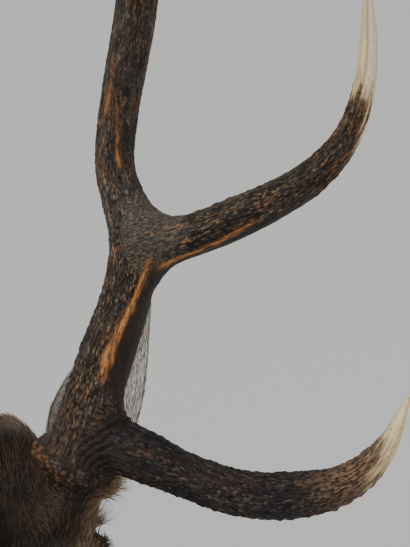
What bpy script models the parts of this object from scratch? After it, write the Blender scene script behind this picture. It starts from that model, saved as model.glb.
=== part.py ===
# Red deer stag head mount: head and neck on a wooden wall shield.
# Metres, +Z up. The wall is the plane y = 0, the stag looks along -Y and its
# left side is at +X. The origin is the centre of the shield's back face.
import math

import bmesh
import bpy
import numpy as np
from mathutils import Matrix, Vector

NAME = "red_deer_stag_head_mount"
GAP = 0.0003                      # clearance between touching pieces

# ---------------------------------------------------------------- shield
BOARD_HALF_WIDTH = 0.205
BOARD_TOP = 0.290
BOARD_BOTTOM = -0.290
BOARD_THICKNESS = 0.022
BOARD_EDGE_ROUND = 0.007

# ---------------------------------------------------------------- head frame
# The head's own frame sits midway between the two antler burrs: F points to
# the nose, D out of the forehead, X to the stag's left.
HEAD_ORIGIN = Vector((0.0, -0.360, 0.590))
FACE_SLOPE = math.radians(45.0)   # face line below the horizontal
AX_F = Vector((0.0, -math.cos(FACE_SLOPE), -math.sin(FACE_SLOPE)))
AX_D = Vector((0.0, -math.sin(FACE_SLOPE), math.cos(FACE_SLOPE)))
AX_X = Vector((1.0, 0.0, 0.0))

# One row for each cross-section of the head, in centimetres of the head
# frame: distance to the nose, dorsal line, ventral line, half-width of the
# roof, greatest half-width and its height, half-width of cheek, of jaw edge.
HEAD_SECTIONS = (
    #  F     top    bottom  roof  max   at     cheek  jaw
    (34.0,  -4.9,   -7.9,   1.3,  2.2,  -6.2,  1.8,   0.9),
    (33.0,  -4.1,   -9.4,   2.1,  3.2,  -6.6,  2.9,   1.6),
    (30.5,  -3.4,  -10.8,   2.3,  3.8,  -7.0,  3.5,   2.3),
    (25.0,  -2.9,  -11.0,   2.1,  3.9,  -7.2,  3.5,   2.1),
    (19.5,  -2.6,  -12.0,   2.3,  4.4,  -7.4,  4.0,   2.2),
    (14.5,  -2.7,  -14.2,   3.0,  5.6,  -7.0,  5.0,   2.7),
    (11.0,  -2.6,  -16.2,   4.1,  7.0,  -6.2,  6.1,   3.2),
    (7.5,   -2.3,  -18.0,   4.9,  7.7,  -5.4,  6.8,   3.7),
    (3.5,   -1.8,  -19.4,   4.7,  7.2,  -6.4,  6.9,   4.2),
    (-1.0,  -2.1,  -19.4,   4.0,  6.9,  -7.8,  6.7,   4.5),
    (-5.0,  -4.2,  -18.0,   3.4,  6.6,  -9.4,  6.2,   4.2),
    (-8.0,  -7.0,  -16.0,   2.6,  5.4, -11.0,  5.0,   3.2),
    (-9.6,  -9.0,  -13.0,   1.3,  2.6, -11.0,  2.4,   1.2),
)
PEDICLE_RADIUS = 0.0275
EYE_RADIUS = 0.0175
EYE_PLACE = (0.0640, 0.078, -0.056)          # x, F, D of the eyeball centre

# Neck sections from the skull to the wall: nape (y, z), throat (y, z),
# half-width.
NECK_SECTIONS = (
    ((-0.290, 0.612), (-0.315, 0.455), 0.050),
    ((-0.240, 0.594), (-0.283, 0.412), 0.072),
    ((-0.188, 0.545), (-0.292, 0.355), 0.088),
    ((-0.134, 0.478), (-0.306, 0.275), 0.104),
    ((-0.088, 0.405), (-0.314, 0.175), 0.123),
    ((-0.058, 0.345), (-0.296, 0.055), 0.143),
    ((-0.040, 0.304), (-0.232, -0.080), 0.160),
    ((-0.030, 0.280), (-0.128, -0.195), 0.170),
    ((-0.0223, 0.268), (-0.0223, -0.258), 0.174),
)
NECK_EGG = 0.10                   # neck is this much wider low than high

# ---------------------------------------------------------------- ears
EAR_ROOT = (0.044, -0.312, 0.506)
EAR_BASE = (0.071, -0.308, 0.528)
EAR_LENGTH = 0.205
EAR_AXIS = (0.645, 0.338, 0.685)
EAR_OPENS = (0.00, -0.80, 0.41)
EAR_BOW = 0.003                   # how far the blade bows towards the antler
EAR_HALF_WIDTH = 0.0495
EAR_STALK_WIDTH = 0.026
# share of the half-width along the blade, stalk to tip
EAR_PROFILE = (0.58, 0.90, 1.00, 0.95, 0.84, 0.69, 0.51, 0.29, 0.03)
EAR_THICKNESS = 0.0050

# ---------------------------------------------------------------- antlers
# Axis points from the centre of the left burr, and the radius there. The
# right antler is the mirror image with its own small differences.
BURR_X = 0.063
BURR_AXIS = (0.46, -0.01, 0.88)
BURR_RADIUS = 0.0395
BURR_THICK = 0.0075
BEAM = (
    (-0.004, 0.000, -0.009, 0.0290),
    (0.003, 0.001, 0.004, 0.0310),
    (0.014, 0.007, 0.026, 0.0255),
    (0.050, 0.028, 0.080, 0.0240),
    (0.080, 0.049, 0.117, 0.0222),
    (0.101, 0.075, 0.155, 0.0222),
    (0.108, 0.121, 0.216, 0.0184),
    (0.118, 0.131, 0.256, 0.0188),
    (0.140, 0.126, 0.361, 0.0189),
    (0.139, 0.103, 0.505, 0.0185),
    (0.108, 0.050, 0.650, 0.0190),
    (0.082, 0.012, 0.730, 0.0130),
    (0.058, -0.026, 0.805, 0.0075),
    (0.044, -0.046, 0.850, 0.0016),
)
BROW_TINE = (
    (0.006, 0.000, 0.020, 0.0210),
    (0.036, -0.032, 0.016, 0.0215),
    (0.091, -0.114, 0.005, 0.0183),
    (0.121, -0.150, 0.014, 0.0163),
    (0.144, -0.173, 0.031, 0.0135),
    (0.168, -0.185, 0.058, 0.0088),
    (0.192, -0.184, 0.101, 0.0016),
)
TREZ_TINE = (
    (0.097, 0.066, 0.142, 0.0200),
    (0.139, 0.020, 0.171, 0.0183),
    (0.200, -0.048, 0.226, 0.0147),
    (0.224, -0.066, 0.263, 0.0112),
    (0.239, -0.065, 0.308, 0.0086),
    (0.252, -0.049, 0.350, 0.0057),
    (0.261, -0.034, 0.378, 0.0014),
)
CROWN_OUTER = (
    (0.112, 0.056, 0.632, 0.0150),
    (0.139, 0.046, 0.685, 0.0140),
    (0.168, 0.028, 0.742, 0.0108),
    (0.184, 0.006, 0.800, 0.0060),
    (0.187, -0.004, 0.826, 0.0015),
)
CROWN_REAR = (
    (0.119, 0.070, 0.600, 0.0140),
    (0.118, 0.104, 0.650, 0.0125),
    (0.113, 0.126, 0.706, 0.0096),
    (0.102, 0.136, 0.758, 0.0055),
    (0.097, 0.138, 0.782, 0.0015),
)
CUT_FORK = 0.285                  # share of the beam's length at the trez fork
CUT_CROWN = 0.770                 # and at the foot of the crown
RIGHT_LENGTH = {"brow": 0.97, "trez": 0.96, "crown_outer": 1.04,
                "crown_rear": 0.94, "beam": 1.0}
RIGHT_SWAY = 0.012                # how far the right beam's top leans inward

# ---------------------------------------------------------------- colours
COLOURS = {
    "board_wood": ((0.20, 0.10, 0.045), 0.45),
    "winter_coat": ((0.085, 0.055, 0.038), 0.85),
    "ear_hair": ((0.33, 0.29, 0.25), 0.85),
    "antler_bone": ((0.075, 0.048, 0.032), 0.55),
    "antler_tip": ((0.60, 0.52, 0.40), 0.40),
    "glass_eye": ((0.015, 0.008, 0.005), 0.08),
}


def wipe():
    for ob in list(bpy.data.objects):
        bpy.data.objects.remove(ob, do_unlink=True)


def collection(name):
    col = bpy.data.collections.get(name)
    if col is None:
        col = bpy.data.collections.new(name)
        bpy.context.scene.collection.children.link(col)
    return col


def material(key):
    mat = bpy.data.materials.get(key)
    if mat is None:
        mat = bpy.data.materials.new(key)
        mat.use_nodes = True
        bsdf = mat.node_tree.nodes["Principled BSDF"]
        rgb, rough = COLOURS[key]
        bsdf.inputs["Base Color"].default_value = (*rgb, 1.0)
        bsdf.inputs["Roughness"].default_value = rough
        bsdf.inputs["Metallic"].default_value = 0.0
    return mat


def head_point(x, f, d):
    """A point given in the head frame, in metres."""
    return HEAD_ORIGIN + AX_X * x + AX_F * f + AX_D * d


# planes that part the flesh into nodes
BEHIND_JAW = Vector((0, -0.232, 0.60))
BEHIND_JAW_N = Vector((0, -1.0, -0.05)).normalized()
UNDER_JAW = Vector((0, -0.230, 0.415))
UNDER_JAW_N = Vector((0, -0.447, 0.894)).normalized()
SNOUT = head_point(0, 0.185, -0.08)
MOUTH = head_point(0, 0.300, -0.0885)
MOUTH_N = (AX_D + AX_F * 0.06).normalized()
MID_NECK = Vector((0, -0.20, 0.285))
MID_NECK_N = Vector((0, -0.42, 0.90)).normalized()


def spline(points, per_span):
    """Centripetal Catmull-Rom through rows of numbers."""
    p = np.asarray(points, float)
    p = np.vstack([2 * p[0] - p[1], p, 2 * p[-1] - p[-2]])
    out = []
    for i in range(1, len(p) - 2):
        a, b, c, d = p[i - 1:i + 3]
        k = [0.0]
        for u, v in ((a, b), (b, c), (c, d)):
            k.append(k[-1] + max(np.linalg.norm((v - u)[:3]), 1e-9) ** 0.5)
        for t in np.linspace(k[1], k[2], per_span, endpoint=False):
            a1 = (k[1] - t) / (k[1] - k[0]) * a + (t - k[0]) / (k[1] - k[0]) * b
            a2 = (k[2] - t) / (k[2] - k[1]) * b + (t - k[1]) / (k[2] - k[1]) * c
            a3 = (k[3] - t) / (k[3] - k[2]) * c + (t - k[2]) / (k[3] - k[2]) * d
            b1 = (k[2] - t) / (k[2] - k[0]) * a1 + (t - k[0]) / (k[2] - k[0]) * a2
            b2 = (k[3] - t) / (k[3] - k[1]) * a2 + (t - k[1]) / (k[3] - k[1]) * a3
            out.append((k[2] - t) / (k[2] - k[1]) * b1
                       + (t - k[1]) / (k[2] - k[1]) * b2)
    out.append(p[-2])
    return np.array(out)


def resample(curve, spacing):
    """Evenly spaced rows along a dense curve, ends kept."""
    step = np.linalg.norm(np.diff(curve[:, :3], axis=0), axis=1)
    s = np.concatenate([[0.0], np.cumsum(step)])
    n = max(int(round(s[-1] / spacing)), 2)
    want = np.linspace(0.0, s[-1], n + 1)
    return np.stack([np.interp(want, s, curve[:, k])
                     for k in range(curve.shape[1])], axis=1)


def loft(name, rings, col):
    """Closed skin over rings of equally many points, ends capped."""
    bm = bmesh.new()
    rows = [[bm.verts.new(p) for p in ring] for ring in rings]
    count = len(rows[0])
    for lower, upper in zip(rows, rows[1:]):
        for i in range(count):
            j = (i + 1) % count
            bm.faces.new((lower[i], lower[j], upper[j], upper[i]))
    bm.faces.new(list(reversed(rows[0])))
    bm.faces.new(rows[-1])
    bmesh.ops.recalc_face_normals(bm, faces=bm.faces)
    if bm.calc_volume(signed=True) < 0:
        bmesh.ops.reverse_faces(bm, faces=bm.faces)
    me = bpy.data.meshes.new(name)
    bm.to_mesh(me)
    bm.free()
    ob = bpy.data.objects.new(name, me)
    col.objects.link(ob)
    return ob


def solid_of(ob, name, col):
    """A plain mesh object with everything of ob applied, in place of ob."""
    bpy.context.view_layer.update()
    graph = bpy.context.evaluated_depsgraph_get()
    me = bpy.data.meshes.new_from_object(ob.evaluated_get(graph))
    me.transform(ob.matrix_world)
    bm = bmesh.new()
    bm.from_mesh(me)
    bmesh.ops.remove_doubles(bm, verts=bm.verts, dist=0.00002)
    bmesh.ops.recalc_face_normals(bm, faces=bm.faces)
    if bm.calc_volume(signed=True) < 0:
        bmesh.ops.reverse_faces(bm, faces=bm.faces)
    bm.to_mesh(me)
    bm.free()
    me.materials.clear()
    bpy.data.objects.remove(ob, do_unlink=True)
    new = bpy.data.objects.new(name, me)
    col.objects.link(new)
    return new


def twin(ob, name, col, grow=0.0):
    """A copy of a mesh object, optionally grown along its normals."""
    new = bpy.data.objects.new(name, ob.data.copy())
    col.objects.link(new)
    if grow:
        mod = new.modifiers.new("grow", "DISPLACE")
        mod.strength = grow
        mod.mid_level = 0.0
        new = solid_of(new, name, col)
    return new


def boolean(ob, cutter, operation, keep_cutter=False):
    mod = ob.modifiers.new("cut", "BOOLEAN")
    mod.operation = operation
    mod.object = cutter
    mod.solver = "EXACT"
    col = ob.users_collection[0]
    name = ob.name
    ob.name = name + "_raw"
    out = solid_of(ob, name, col)
    if not keep_cutter:
        bpy.data.objects.remove(cutter, do_unlink=True)
    return out


def half(ob, name, point, normal, col):
    """The side of ob that the normal points to, closed at the plane."""
    bm = bmesh.new()
    bm.from_mesh(ob.data)
    cut = bmesh.ops.bisect_plane(
        bm, geom=bm.verts[:] + bm.edges[:] + bm.faces[:], dist=1e-6,
        plane_co=Vector(point) + Vector(normal).normalized() * GAP / 2,
        plane_no=Vector(normal).normalized(), clear_inner=True)
    rim = [g for g in cut["geom_cut"] if isinstance(g, bmesh.types.BMEdge)]
    bmesh.ops.holes_fill(bm, edges=rim, sides=0)
    bmesh.ops.triangulate(bm, faces=[f for f in bm.faces if len(f.verts) > 4])
    bmesh.ops.recalc_face_normals(bm, faces=bm.faces)
    if bm.calc_volume(signed=True) < 0:
        bmesh.ops.reverse_faces(bm, faces=bm.faces)
    me = bpy.data.meshes.new(name)
    bm.to_mesh(me)
    bm.free()
    new = bpy.data.objects.new(name, me)
    col.objects.link(new)
    return new


def finish(ob, name, mat, col):
    """Names a piece, gives it its material and places it in the model."""
    for c in list(ob.users_collection):
        c.objects.unlink(ob)
    col.objects.link(ob)
    ob.name = name
    ob.data.name = name
    ob.data.materials.clear()
    ob.data.materials.append(material(mat))
    ob.data.shade_smooth()
    ob.data.set_sharp_from_angle(angle=math.radians(42))
    return ob


# ------------------------------------------------------------------ shield
def make_board(work):
    """Flat-topped shield: shoulders, straight flanks, pointed foot."""
    half_w, top, low = BOARD_HALF_WIDTH, BOARD_TOP, BOARD_BOTTOM
    knots = ((0.0, top), (0.45 * half_w, top - 0.012), (0.80 * half_w, top),
             (half_w, top - 0.045), (0.94 * half_w, top - 0.120),
             (half_w, 0.02), (0.90 * half_w, -0.105),
             (0.58 * half_w, -0.215), (0.20 * half_w, low + 0.016), (0.0, low))
    side = spline([(x, z, 0.0) for x, z in knots], 3)
    side[0, 0] = side[-1, 0] = 0.0
    curve = bpy.data.curves.new("board_outline", "CURVE")
    curve.dimensions = "2D"
    curve.fill_mode = "BOTH"
    curve.extrude = BOARD_THICKNESS / 2
    loop = [(x, z) for x, z, _ in side]
    loop += [(-x, z) for x, z, _ in side[-2:0:-1]]
    line = curve.splines.new("POLY")
    line.points.add(len(loop) - 1)
    for point, (x, z) in zip(line.points, loop):
        point.co = (x, z, 0.0, 1.0)
    line.use_cyclic_u = True
    ob = bpy.data.objects.new("board_outline", curve)
    work.objects.link(ob)
    ob.rotation_euler = (math.radians(90), 0, 0)
    ob.location = (0, -BOARD_THICKNESS / 2, 0)
    ob = solid_of(ob, "board_blank", work)
    bm = bmesh.new()
    bm.from_mesh(ob.data)
    bmesh.ops.dissolve_limit(bm, angle_limit=math.radians(0.5),
                             verts=bm.verts, edges=bm.edges)
    front = [e for e in bm.edges
             if all(abs(v.co.y + BOARD_THICKNESS) < 1e-5 for v in e.verts)
             and len(e.link_faces) == 2
             and any(abs(f.normal.y) < 0.5 for f in e.link_faces)]
    bmesh.ops.bevel(bm, geom=front, offset=BOARD_EDGE_ROUND, segments=1,
                    affect="EDGES", profile=0.5)
    bm.to_mesh(ob.data)
    bm.free()
    return ob


# ------------------------------------------------------------------ flesh
def head_ring(row, count):
    """Section of the head at one distance to the nose."""
    f, top, low, roof, wide, at, cheek, jaw = [v / 100 for v in row]
    span = top - low
    half_line = [(0.0, top), (roof, top - 0.045 * span), (wide, at),
                 (cheek, (at + low) / 2), (jaw, low + 0.055 * span), (0.0, low)]
    loop = half_line + [(-x, d) for x, d in half_line[-2:0:-1]]
    n = len(loop)
    pts = []
    for k in range(count):
        u = k * n / count
        i = int(u)
        t = u - i
        a, b, c, d = (np.array(loop[(i + j - 1) % n]) for j in range(4))
        w = (-0.5 * t + t * t - 0.5 * t ** 3, 1 - 2.5 * t * t + 1.5 * t ** 3,
             0.5 * t + 2 * t * t - 1.5 * t ** 3, -0.5 * t * t + 0.5 * t ** 3)
        x, dd = w[0] * a + w[1] * b + w[2] * c + w[3] * d
        pts.append(head_point(x, f, dd))
    return pts


def neck_ring(row, count):
    ty, tz, by, bz, w = row
    mid = Vector((0, (ty + by) / 2, (tz + bz) / 2))
    up = Vector((0, (ty - by) / 2, (tz - bz) / 2))
    pts = []
    for k in range(count):
        a = math.tau * k / count
        s, c = math.sin(a), math.cos(a)
        flat = 0.90
        sx = math.copysign(abs(c) ** flat, c) * (1 - NECK_EGG * s)
        pts.append(mid + up * math.copysign(abs(s) ** flat, s)
                   + AX_X * (w * sx))
    return pts


def make_flesh(work, burr_axes):
    """Head, pedicles and neck as one closed body."""
    rows = spline(HEAD_SECTIONS, 3)
    pieces = [loft("head_loft", [head_ring(r, 30) for r in rows], work)]
    flat = [(t[0], t[1], b[0], b[1], w) for t, b, w in NECK_SECTIONS]
    rows = spline(flat, 3)
    pieces.append(loft("neck_loft", [neck_ring(r, 32) for r in rows], work))
    for side in (1, -1):
        burr = HEAD_ORIGIN + AX_X * BURR_X * side
        axis = burr_axes[side]
        low = burr - axis * 0.062
        high = burr - axis * 0.004
        bpy.ops.mesh.primitive_cone_add(
            vertices=20, radius1=PEDICLE_RADIUS * 1.25, radius2=PEDICLE_RADIUS,
            depth=(high - low).length, location=(low + high) / 2,
            rotation=axis.to_track_quat("Z", "Y").to_euler())
        cone = bpy.context.active_object
        cone.name = "pedicle"
        pieces.append(solid_of(cone, "pedicle", work))
        # brow ridge over the eye
        bpy.ops.mesh.primitive_uv_sphere_add(segments=16, ring_count=10,
                                             radius=1.0)
        brow = bpy.context.active_object
        place = head_point(side * 0.061, 0.068, -0.040)
        turn = Matrix((AX_X, AX_F, AX_D)).transposed().to_4x4()
        brow.matrix_world = (Matrix.Translation(place) @ turn
                             @ Matrix.Diagonal((0.016, 0.034, 0.014, 1)))
        pieces.append(solid_of(brow, "brow", work))
    bm = bmesh.new()
    for ob in pieces:
        bm.from_mesh(ob.data)
    me = bpy.data.meshes.new("flesh")
    bm.to_mesh(me)
    bm.free()
    for ob in pieces:
        bpy.data.objects.remove(ob, do_unlink=True)
    flesh = bpy.data.objects.new("flesh", me)
    work.objects.link(flesh)
    remesh = flesh.modifiers.new("one_body", "REMESH")
    remesh.mode = "VOXEL"
    remesh.voxel_size = 0.0055
    smooth = flesh.modifiers.new("soften", "SMOOTH")
    smooth.factor = 0.5
    smooth.iterations = 7
    reduce = flesh.modifiers.new("reduce", "DECIMATE")
    reduce.ratio = 0.029
    flesh = solid_of(flesh, "flesh", work)
    return flesh


# ------------------------------------------------------------------ ears
def make_ear(side, work):
    """Cupped leaf: solid stalk at the skull, hollow blade above it."""
    m = Vector((side, 1, 1))
    axis = Vector([a * b for a, b in zip(EAR_AXIS, m)]).normalized()
    opens = Vector([a * b for a, b in zip(EAR_OPENS, m)])
    root = Vector([a * b for a, b in zip(EAR_ROOT, m)])
    base = Vector([a * b for a, b in zip(EAR_BASE, m)])
    bow = axis.cross(opens).normalized() * EAR_BOW * side
    line = [root, base] + [base + axis * EAR_LENGTH * k
                           - bow * math.sin(math.pi * k)
                           for k in (0.25, 0.5, 0.75, 1.0)]
    curve = resample(spline([tuple(p) for p in line], 12), 0.015)
    n = len(curve) - 1
    rings = []
    for i, p in enumerate(curve):
        t = i / n
        blade = max(0.0, (t - 0.17) / 0.83)
        tangent = Vector(curve[min(i + 1, n)] - curve[max(i - 1, 0)])
        tangent.normalize()
        ahead = (opens - tangent * opens.dot(tangent)).normalized()
        across = tangent.cross(ahead).normalized()
        share = np.interp(blade * (len(EAR_PROFILE) - 1),
                          range(len(EAR_PROFILE)), EAR_PROFILE)
        wide = max(EAR_HALF_WIDTH * share, 0.0018)
        if t < 0.17:
            wide = EAR_STALK_WIDTH
        hollow = min(1.0, blade / 0.16)
        hollow = hollow * hollow * (3 - 2 * hollow)
        back = 0.031 * (1 - 0.72 * blade)
        front_solid = -0.020
        front_cup = back - EAR_THICKNESS * (1 - 0.35 * blade)
        front = front_solid * (1 - hollow) + front_cup * hollow
        ring = []
        m_side = 7
        for k in range(m_side):
            x = -math.cos(math.pi * k / (m_side - 1))
            ring.append((x * wide, -back * math.sqrt(max(0, 1 - x * x))
                         - 0.0008))
        for k in range(1, m_side - 1):
            x = math.cos(math.pi * k / (m_side - 1))
            ring.append((x * (wide - 0.0012),
                         -front * math.sqrt(max(0, 1 - x * x)) + 0.0008))
        lift = back * 0.5 * hollow
        rings.append([Vector(p) + across * x + ahead * (y + lift)
                      for x, y in ring])
    return loft("ear", rings, work)


# ------------------------------------------------------------------ antlers
def tube(points, side, work, name, grow=0.0, length=1.0, spacing=0.014,
         sway=0.0):
    """Tapered round tube about a smooth axis that starts at the burr."""
    rows = spline(points, 10)
    start = rows[0, :3].copy()
    rows[:, :3] = start + (rows[:, :3] - start) * length
    rows[:, 0] -= sway * np.clip(rows[:, 2] / 0.85, 0, 1.2) ** 2
    rows = resample(rows, spacing)
    if grow:
        back = rows[0, :3] - rows[1, :3]
        rows[0, :3] += back / np.linalg.norm(back) * GAP * 2
    burr = HEAD_ORIGIN + AX_X * BURR_X * side
    curve = bpy.data.curves.new(name, "CURVE")
    curve.dimensions = "3D"
    curve.bevel_depth = 1.0
    curve.bevel_resolution = 2
    curve.use_fill_caps = True
    line = curve.splines.new("POLY")
    line.points.add(len(rows) - 1)
    for point, (x, y, z, r) in zip(line.points, rows):
        point.co = (burr.x + side * x, burr.y + y, burr.z + z, 1.0)
        point.radius = r + grow
    ob = bpy.data.objects.new(name, curve)
    work.objects.link(ob)
    return solid_of(ob, name, work), rows


def make_antler(side, burr_axis, work):
    """Beam with burr, brow tine, trez tine and a crown of three points."""
    own = RIGHT_LENGTH if side < 0 else dict.fromkeys(RIGHT_LENGTH, 1.0)
    sway = RIGHT_SWAY if side < 0 else 0.0
    burr = HEAD_ORIGIN + AX_X * BURR_X * side
    beam, rows = tube(BEAM, side, work, "beam", sway=sway, spacing=0.021)
    fat, _ = tube(BEAM, side, work, "beam_fat", GAP * 1.4, sway=sway,
                  spacing=0.021)
    bpy.ops.mesh.primitive_torus_add(
        location=burr - burr_axis * 0.001,
        rotation=burr_axis.to_track_quat("Z", "Y").to_euler(),
        major_segments=24, minor_segments=8,
        major_radius=BURR_RADIUS - BURR_THICK, minor_radius=BURR_THICK)
    ring = bpy.context.active_object
    ring = solid_of(ring, "burr_ring", work)
    beam = boolean(beam, ring, "UNION", keep_cutter=True)
    ring_fat = twin(ring, "ring_fat", work, GAP * 1.5)
    bpy.data.objects.remove(ring, do_unlink=True)
    tines = {}
    plan = (("crown_outer", CROWN_OUTER), ("crown_rear", CROWN_REAR),
            ("brow", BROW_TINE), ("trez", TREZ_TINE))
    fats = {}
    for key, pts in plan:
        tines[key], _ = tube(pts, side, work, key, length=own[key], sway=sway,
                             spacing=0.018)
        fats[key], _ = tube(pts, side, work, key + "_fat", GAP * 1.4,
                            length=own[key], sway=sway, spacing=0.018)
    for key in tines:
        tines[key] = boolean(tines[key], fat, "DIFFERENCE", keep_cutter=True)
    tines["brow"] = boolean(tines["brow"], ring_fat, "DIFFERENCE",
                            keep_cutter=True)
    tines["crown_rear"] = boolean(tines["crown_rear"], fats["crown_outer"],
                                  "DIFFERENCE", keep_cutter=True)
    for key in tines:
        tines[key] = largest(tines[key])
    # the beam itself is parted at the trez fork and below the crown
    n = len(rows) - 1
    parts = {}
    cuts = []
    for share in (CUT_FORK, CUT_CROWN):
        i = int(round(n * share))
        p, q = rows[i, :3], rows[i + 1, :3]
        at = (p + q) / 2
        along = q - p
        cuts.append((Vector((burr.x + side * at[0], burr.y + at[1],
                             burr.z + at[2])),
                     Vector((side * along[0], along[1], along[2]))))
    parts["beam_lower"] = half(beam, "a", cuts[0][0], -cuts[0][1], work)
    rest = half(beam, "b", cuts[0][0], cuts[0][1], work)
    parts["beam_upper"] = half(rest, "c", cuts[1][0], -cuts[1][1], work)
    parts["crown_front"] = half(rest, "d", cuts[1][0], cuts[1][1], work)
    bpy.data.objects.remove(rest, do_unlink=True)
    bpy.data.objects.remove(beam, do_unlink=True)
    for key in fats:
        bpy.data.objects.remove(fats[key], do_unlink=True)
    parts.update(tines)
    return parts, fat, ring_fat


def largest(ob):
    """Keeps the largest closed shell of a mesh."""
    bm = bmesh.new()
    bm.from_mesh(ob.data)
    left = set(bm.verts)
    shells = []
    while left:
        stack = [left.pop()]
        shell = set(stack)
        while stack:
            v = stack.pop()
            for e in v.link_edges:
                w = e.other_vert(v)
                if w in left:
                    left.discard(w)
                    shell.add(w)
                    stack.append(w)
        shells.append(shell)
    shells.sort(key=len, reverse=True)
    extra = [v for s in shells[1:] for v in s]
    if extra:
        bmesh.ops.delete(bm, geom=extra, context="VERTS")
    bm.to_mesh(ob.data)
    bm.free()
    return ob


def main():
    wipe()
    model = collection(NAME)
    work = collection("construction")
    axes = {s: Vector((s * BURR_AXIS[0], BURR_AXIS[1], BURR_AXIS[2])).normalized()
            for s in (1, -1)}

    finish(make_board(work), "board", "board_wood", model)

    flesh = make_flesh(work, axes)
    words = {1: "left", -1: "right"}
    for side in (1, -1):
        parts, fat, ring_fat = make_antler(side, axes[side], work)
        for key, ob in parts.items():
            mat = "antler_bone"
            finish(ob, "antler_%s_%s" % (words[side], key), mat, model)
        # the pedicle stops under the burr
        flesh = boolean(flesh, ring_fat, "DIFFERENCE")
        flesh = boolean(flesh, fat, "DIFFERENCE")
        # eyeball in its socket
        place = head_point(side * EYE_PLACE[0], EYE_PLACE[1], EYE_PLACE[2])
        for grow, target in ((GAP * 2, "socket"), (0.0, "eye")):
            bpy.ops.mesh.primitive_uv_sphere_add(
                segments=16, ring_count=8, radius=EYE_RADIUS + grow,
                location=place, rotation=(0, math.radians(90), 0))
            ball = bpy.context.active_object
            ball = solid_of(ball, target, work)
            if target == "socket":
                flesh = boolean(flesh, ball, "DIFFERENCE")
            else:
                finish(ball, "eye_%s" % words[side], "glass_eye", model)
    flesh = largest(flesh)

    for side in (1, -1):
        ear = make_ear(side, work)
        grown = twin(flesh, "flesh_grown", work, GAP * 1.5)
        ear = boolean(ear, grown, "DIFFERENCE")
        finish(largest(ear), "ear_%s" % words[side], "ear_hair", model)

    # nodes of the flesh, parted by thin plane cuts: the head lies ahead of a
    # plane behind the jaw and above one under it
    flesh.name = "flesh_whole"
    wedges = []
    for slack in (-GAP / 2, GAP / 2):
        bpy.ops.mesh.primitive_cube_add(size=1.6, location=HEAD_ORIGIN)
        box = solid_of(bpy.context.active_object, "wedge_box", work)
        first = half(box, "wedge_a", BEHIND_JAW - BEHIND_JAW_N * slack,
                     BEHIND_JAW_N, work)
        wedges.append(half(first, "wedge_b", UNDER_JAW - UNDER_JAW_N * slack,
                           UNDER_JAW_N, work))
    head = boolean(twin(flesh, "head_block", work), wedges[0], "INTERSECT",
                   keep_cutter=True)
    neck = boolean(twin(flesh, "neck_block", work), wedges[1], "DIFFERENCE",
                   keep_cutter=True)
    for name, whole, at, way in (
            ("neck_upper", neck, MID_NECK, MID_NECK_N),
            ("neck_lower", neck, MID_NECK, -MID_NECK_N),
            ("head", head, SNOUT, -AX_F)):
        finish(half(whole, "part", at, way, work), name, "winter_coat", model)
    front = half(head, "front_block", SNOUT, AX_F, work)
    finish(half(front, "part", MOUTH, MOUTH_N, work), "muzzle", "winter_coat",
           model)
    finish(half(front, "part", MOUTH, -MOUTH_N, work), "lower_jaw",
           "winter_coat", model)
    for ob in list(work.objects):
        bpy.data.objects.remove(ob, do_unlink=True)
    bpy.data.collections.remove(work)


main()
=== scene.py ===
# Looks of the red deer stag head mount: one skin with its coat, glass eyes,
# pearled antlers and a varnished shield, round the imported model's frame.
import math

import bmesh
import bpy
import numpy as np
from mathutils import Matrix, Vector
from mathutils.bvhtree import BVHTree


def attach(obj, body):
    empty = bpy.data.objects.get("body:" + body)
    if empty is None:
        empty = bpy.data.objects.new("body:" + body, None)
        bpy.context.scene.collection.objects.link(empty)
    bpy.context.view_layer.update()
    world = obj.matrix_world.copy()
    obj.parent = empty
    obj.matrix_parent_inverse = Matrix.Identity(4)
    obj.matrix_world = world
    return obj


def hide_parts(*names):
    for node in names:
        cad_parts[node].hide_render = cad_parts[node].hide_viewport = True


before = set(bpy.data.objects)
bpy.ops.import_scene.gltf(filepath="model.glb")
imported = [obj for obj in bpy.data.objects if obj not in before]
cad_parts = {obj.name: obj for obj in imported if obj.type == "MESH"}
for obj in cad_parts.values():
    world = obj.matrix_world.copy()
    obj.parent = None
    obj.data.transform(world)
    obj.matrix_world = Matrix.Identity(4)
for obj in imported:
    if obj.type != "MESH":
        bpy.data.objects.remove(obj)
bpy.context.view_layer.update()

# ------------------------------------------------------------------ frame
# The same design sizes as the construction, in metres.
O = np.array([0.0, -0.360, 0.590])               # midway between the burrs
AF = np.array([0.0, -math.cos(math.radians(45)), -math.sin(math.radians(45))])
AD = np.array([0.0, -math.sin(math.radians(45)), math.cos(math.radians(45))])
AX = np.array([1.0, 0.0, 0.0])

BURR_X = 0.063
BURR_AXIS = np.array([0.46, -0.01, 0.88])
BURR_AXIS = BURR_AXIS / np.linalg.norm(BURR_AXIS)
BEAM = (
    (-0.001, 0.000, -0.003, 0.0270),
    (0.003, 0.001, 0.006, 0.0275),
    (0.014, 0.007, 0.026, 0.0250),
    (0.050, 0.028, 0.080, 0.0240),
    (0.080, 0.049, 0.117, 0.0222),
    (0.101, 0.075, 0.155, 0.0218),
    (0.108, 0.121, 0.216, 0.0184),
    (0.118, 0.131, 0.256, 0.0186),
    (0.140, 0.126, 0.361, 0.0189),
    (0.139, 0.103, 0.505, 0.0185),
    (0.108, 0.050, 0.650, 0.0190),
    (0.082, 0.012, 0.730, 0.0130),
    (0.058, -0.026, 0.805, 0.0075),
    (0.044, -0.046, 0.850, 0.0012),
)
BROW_TINE = (
    (0.012, -0.004, 0.022, 0.0100),
    (0.036, -0.032, 0.016, 0.0206),
    (0.0635, -0.073, 0.0072, 0.0177),
    (0.091, -0.114, 0.0043, 0.0175),
    (0.121, -0.150, 0.0148, 0.0169),
    (0.144, -0.173, 0.031, 0.0133),
    (0.168, -0.185, 0.058, 0.0088),
    (0.192, -0.184, 0.101, 0.0012),
)
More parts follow.
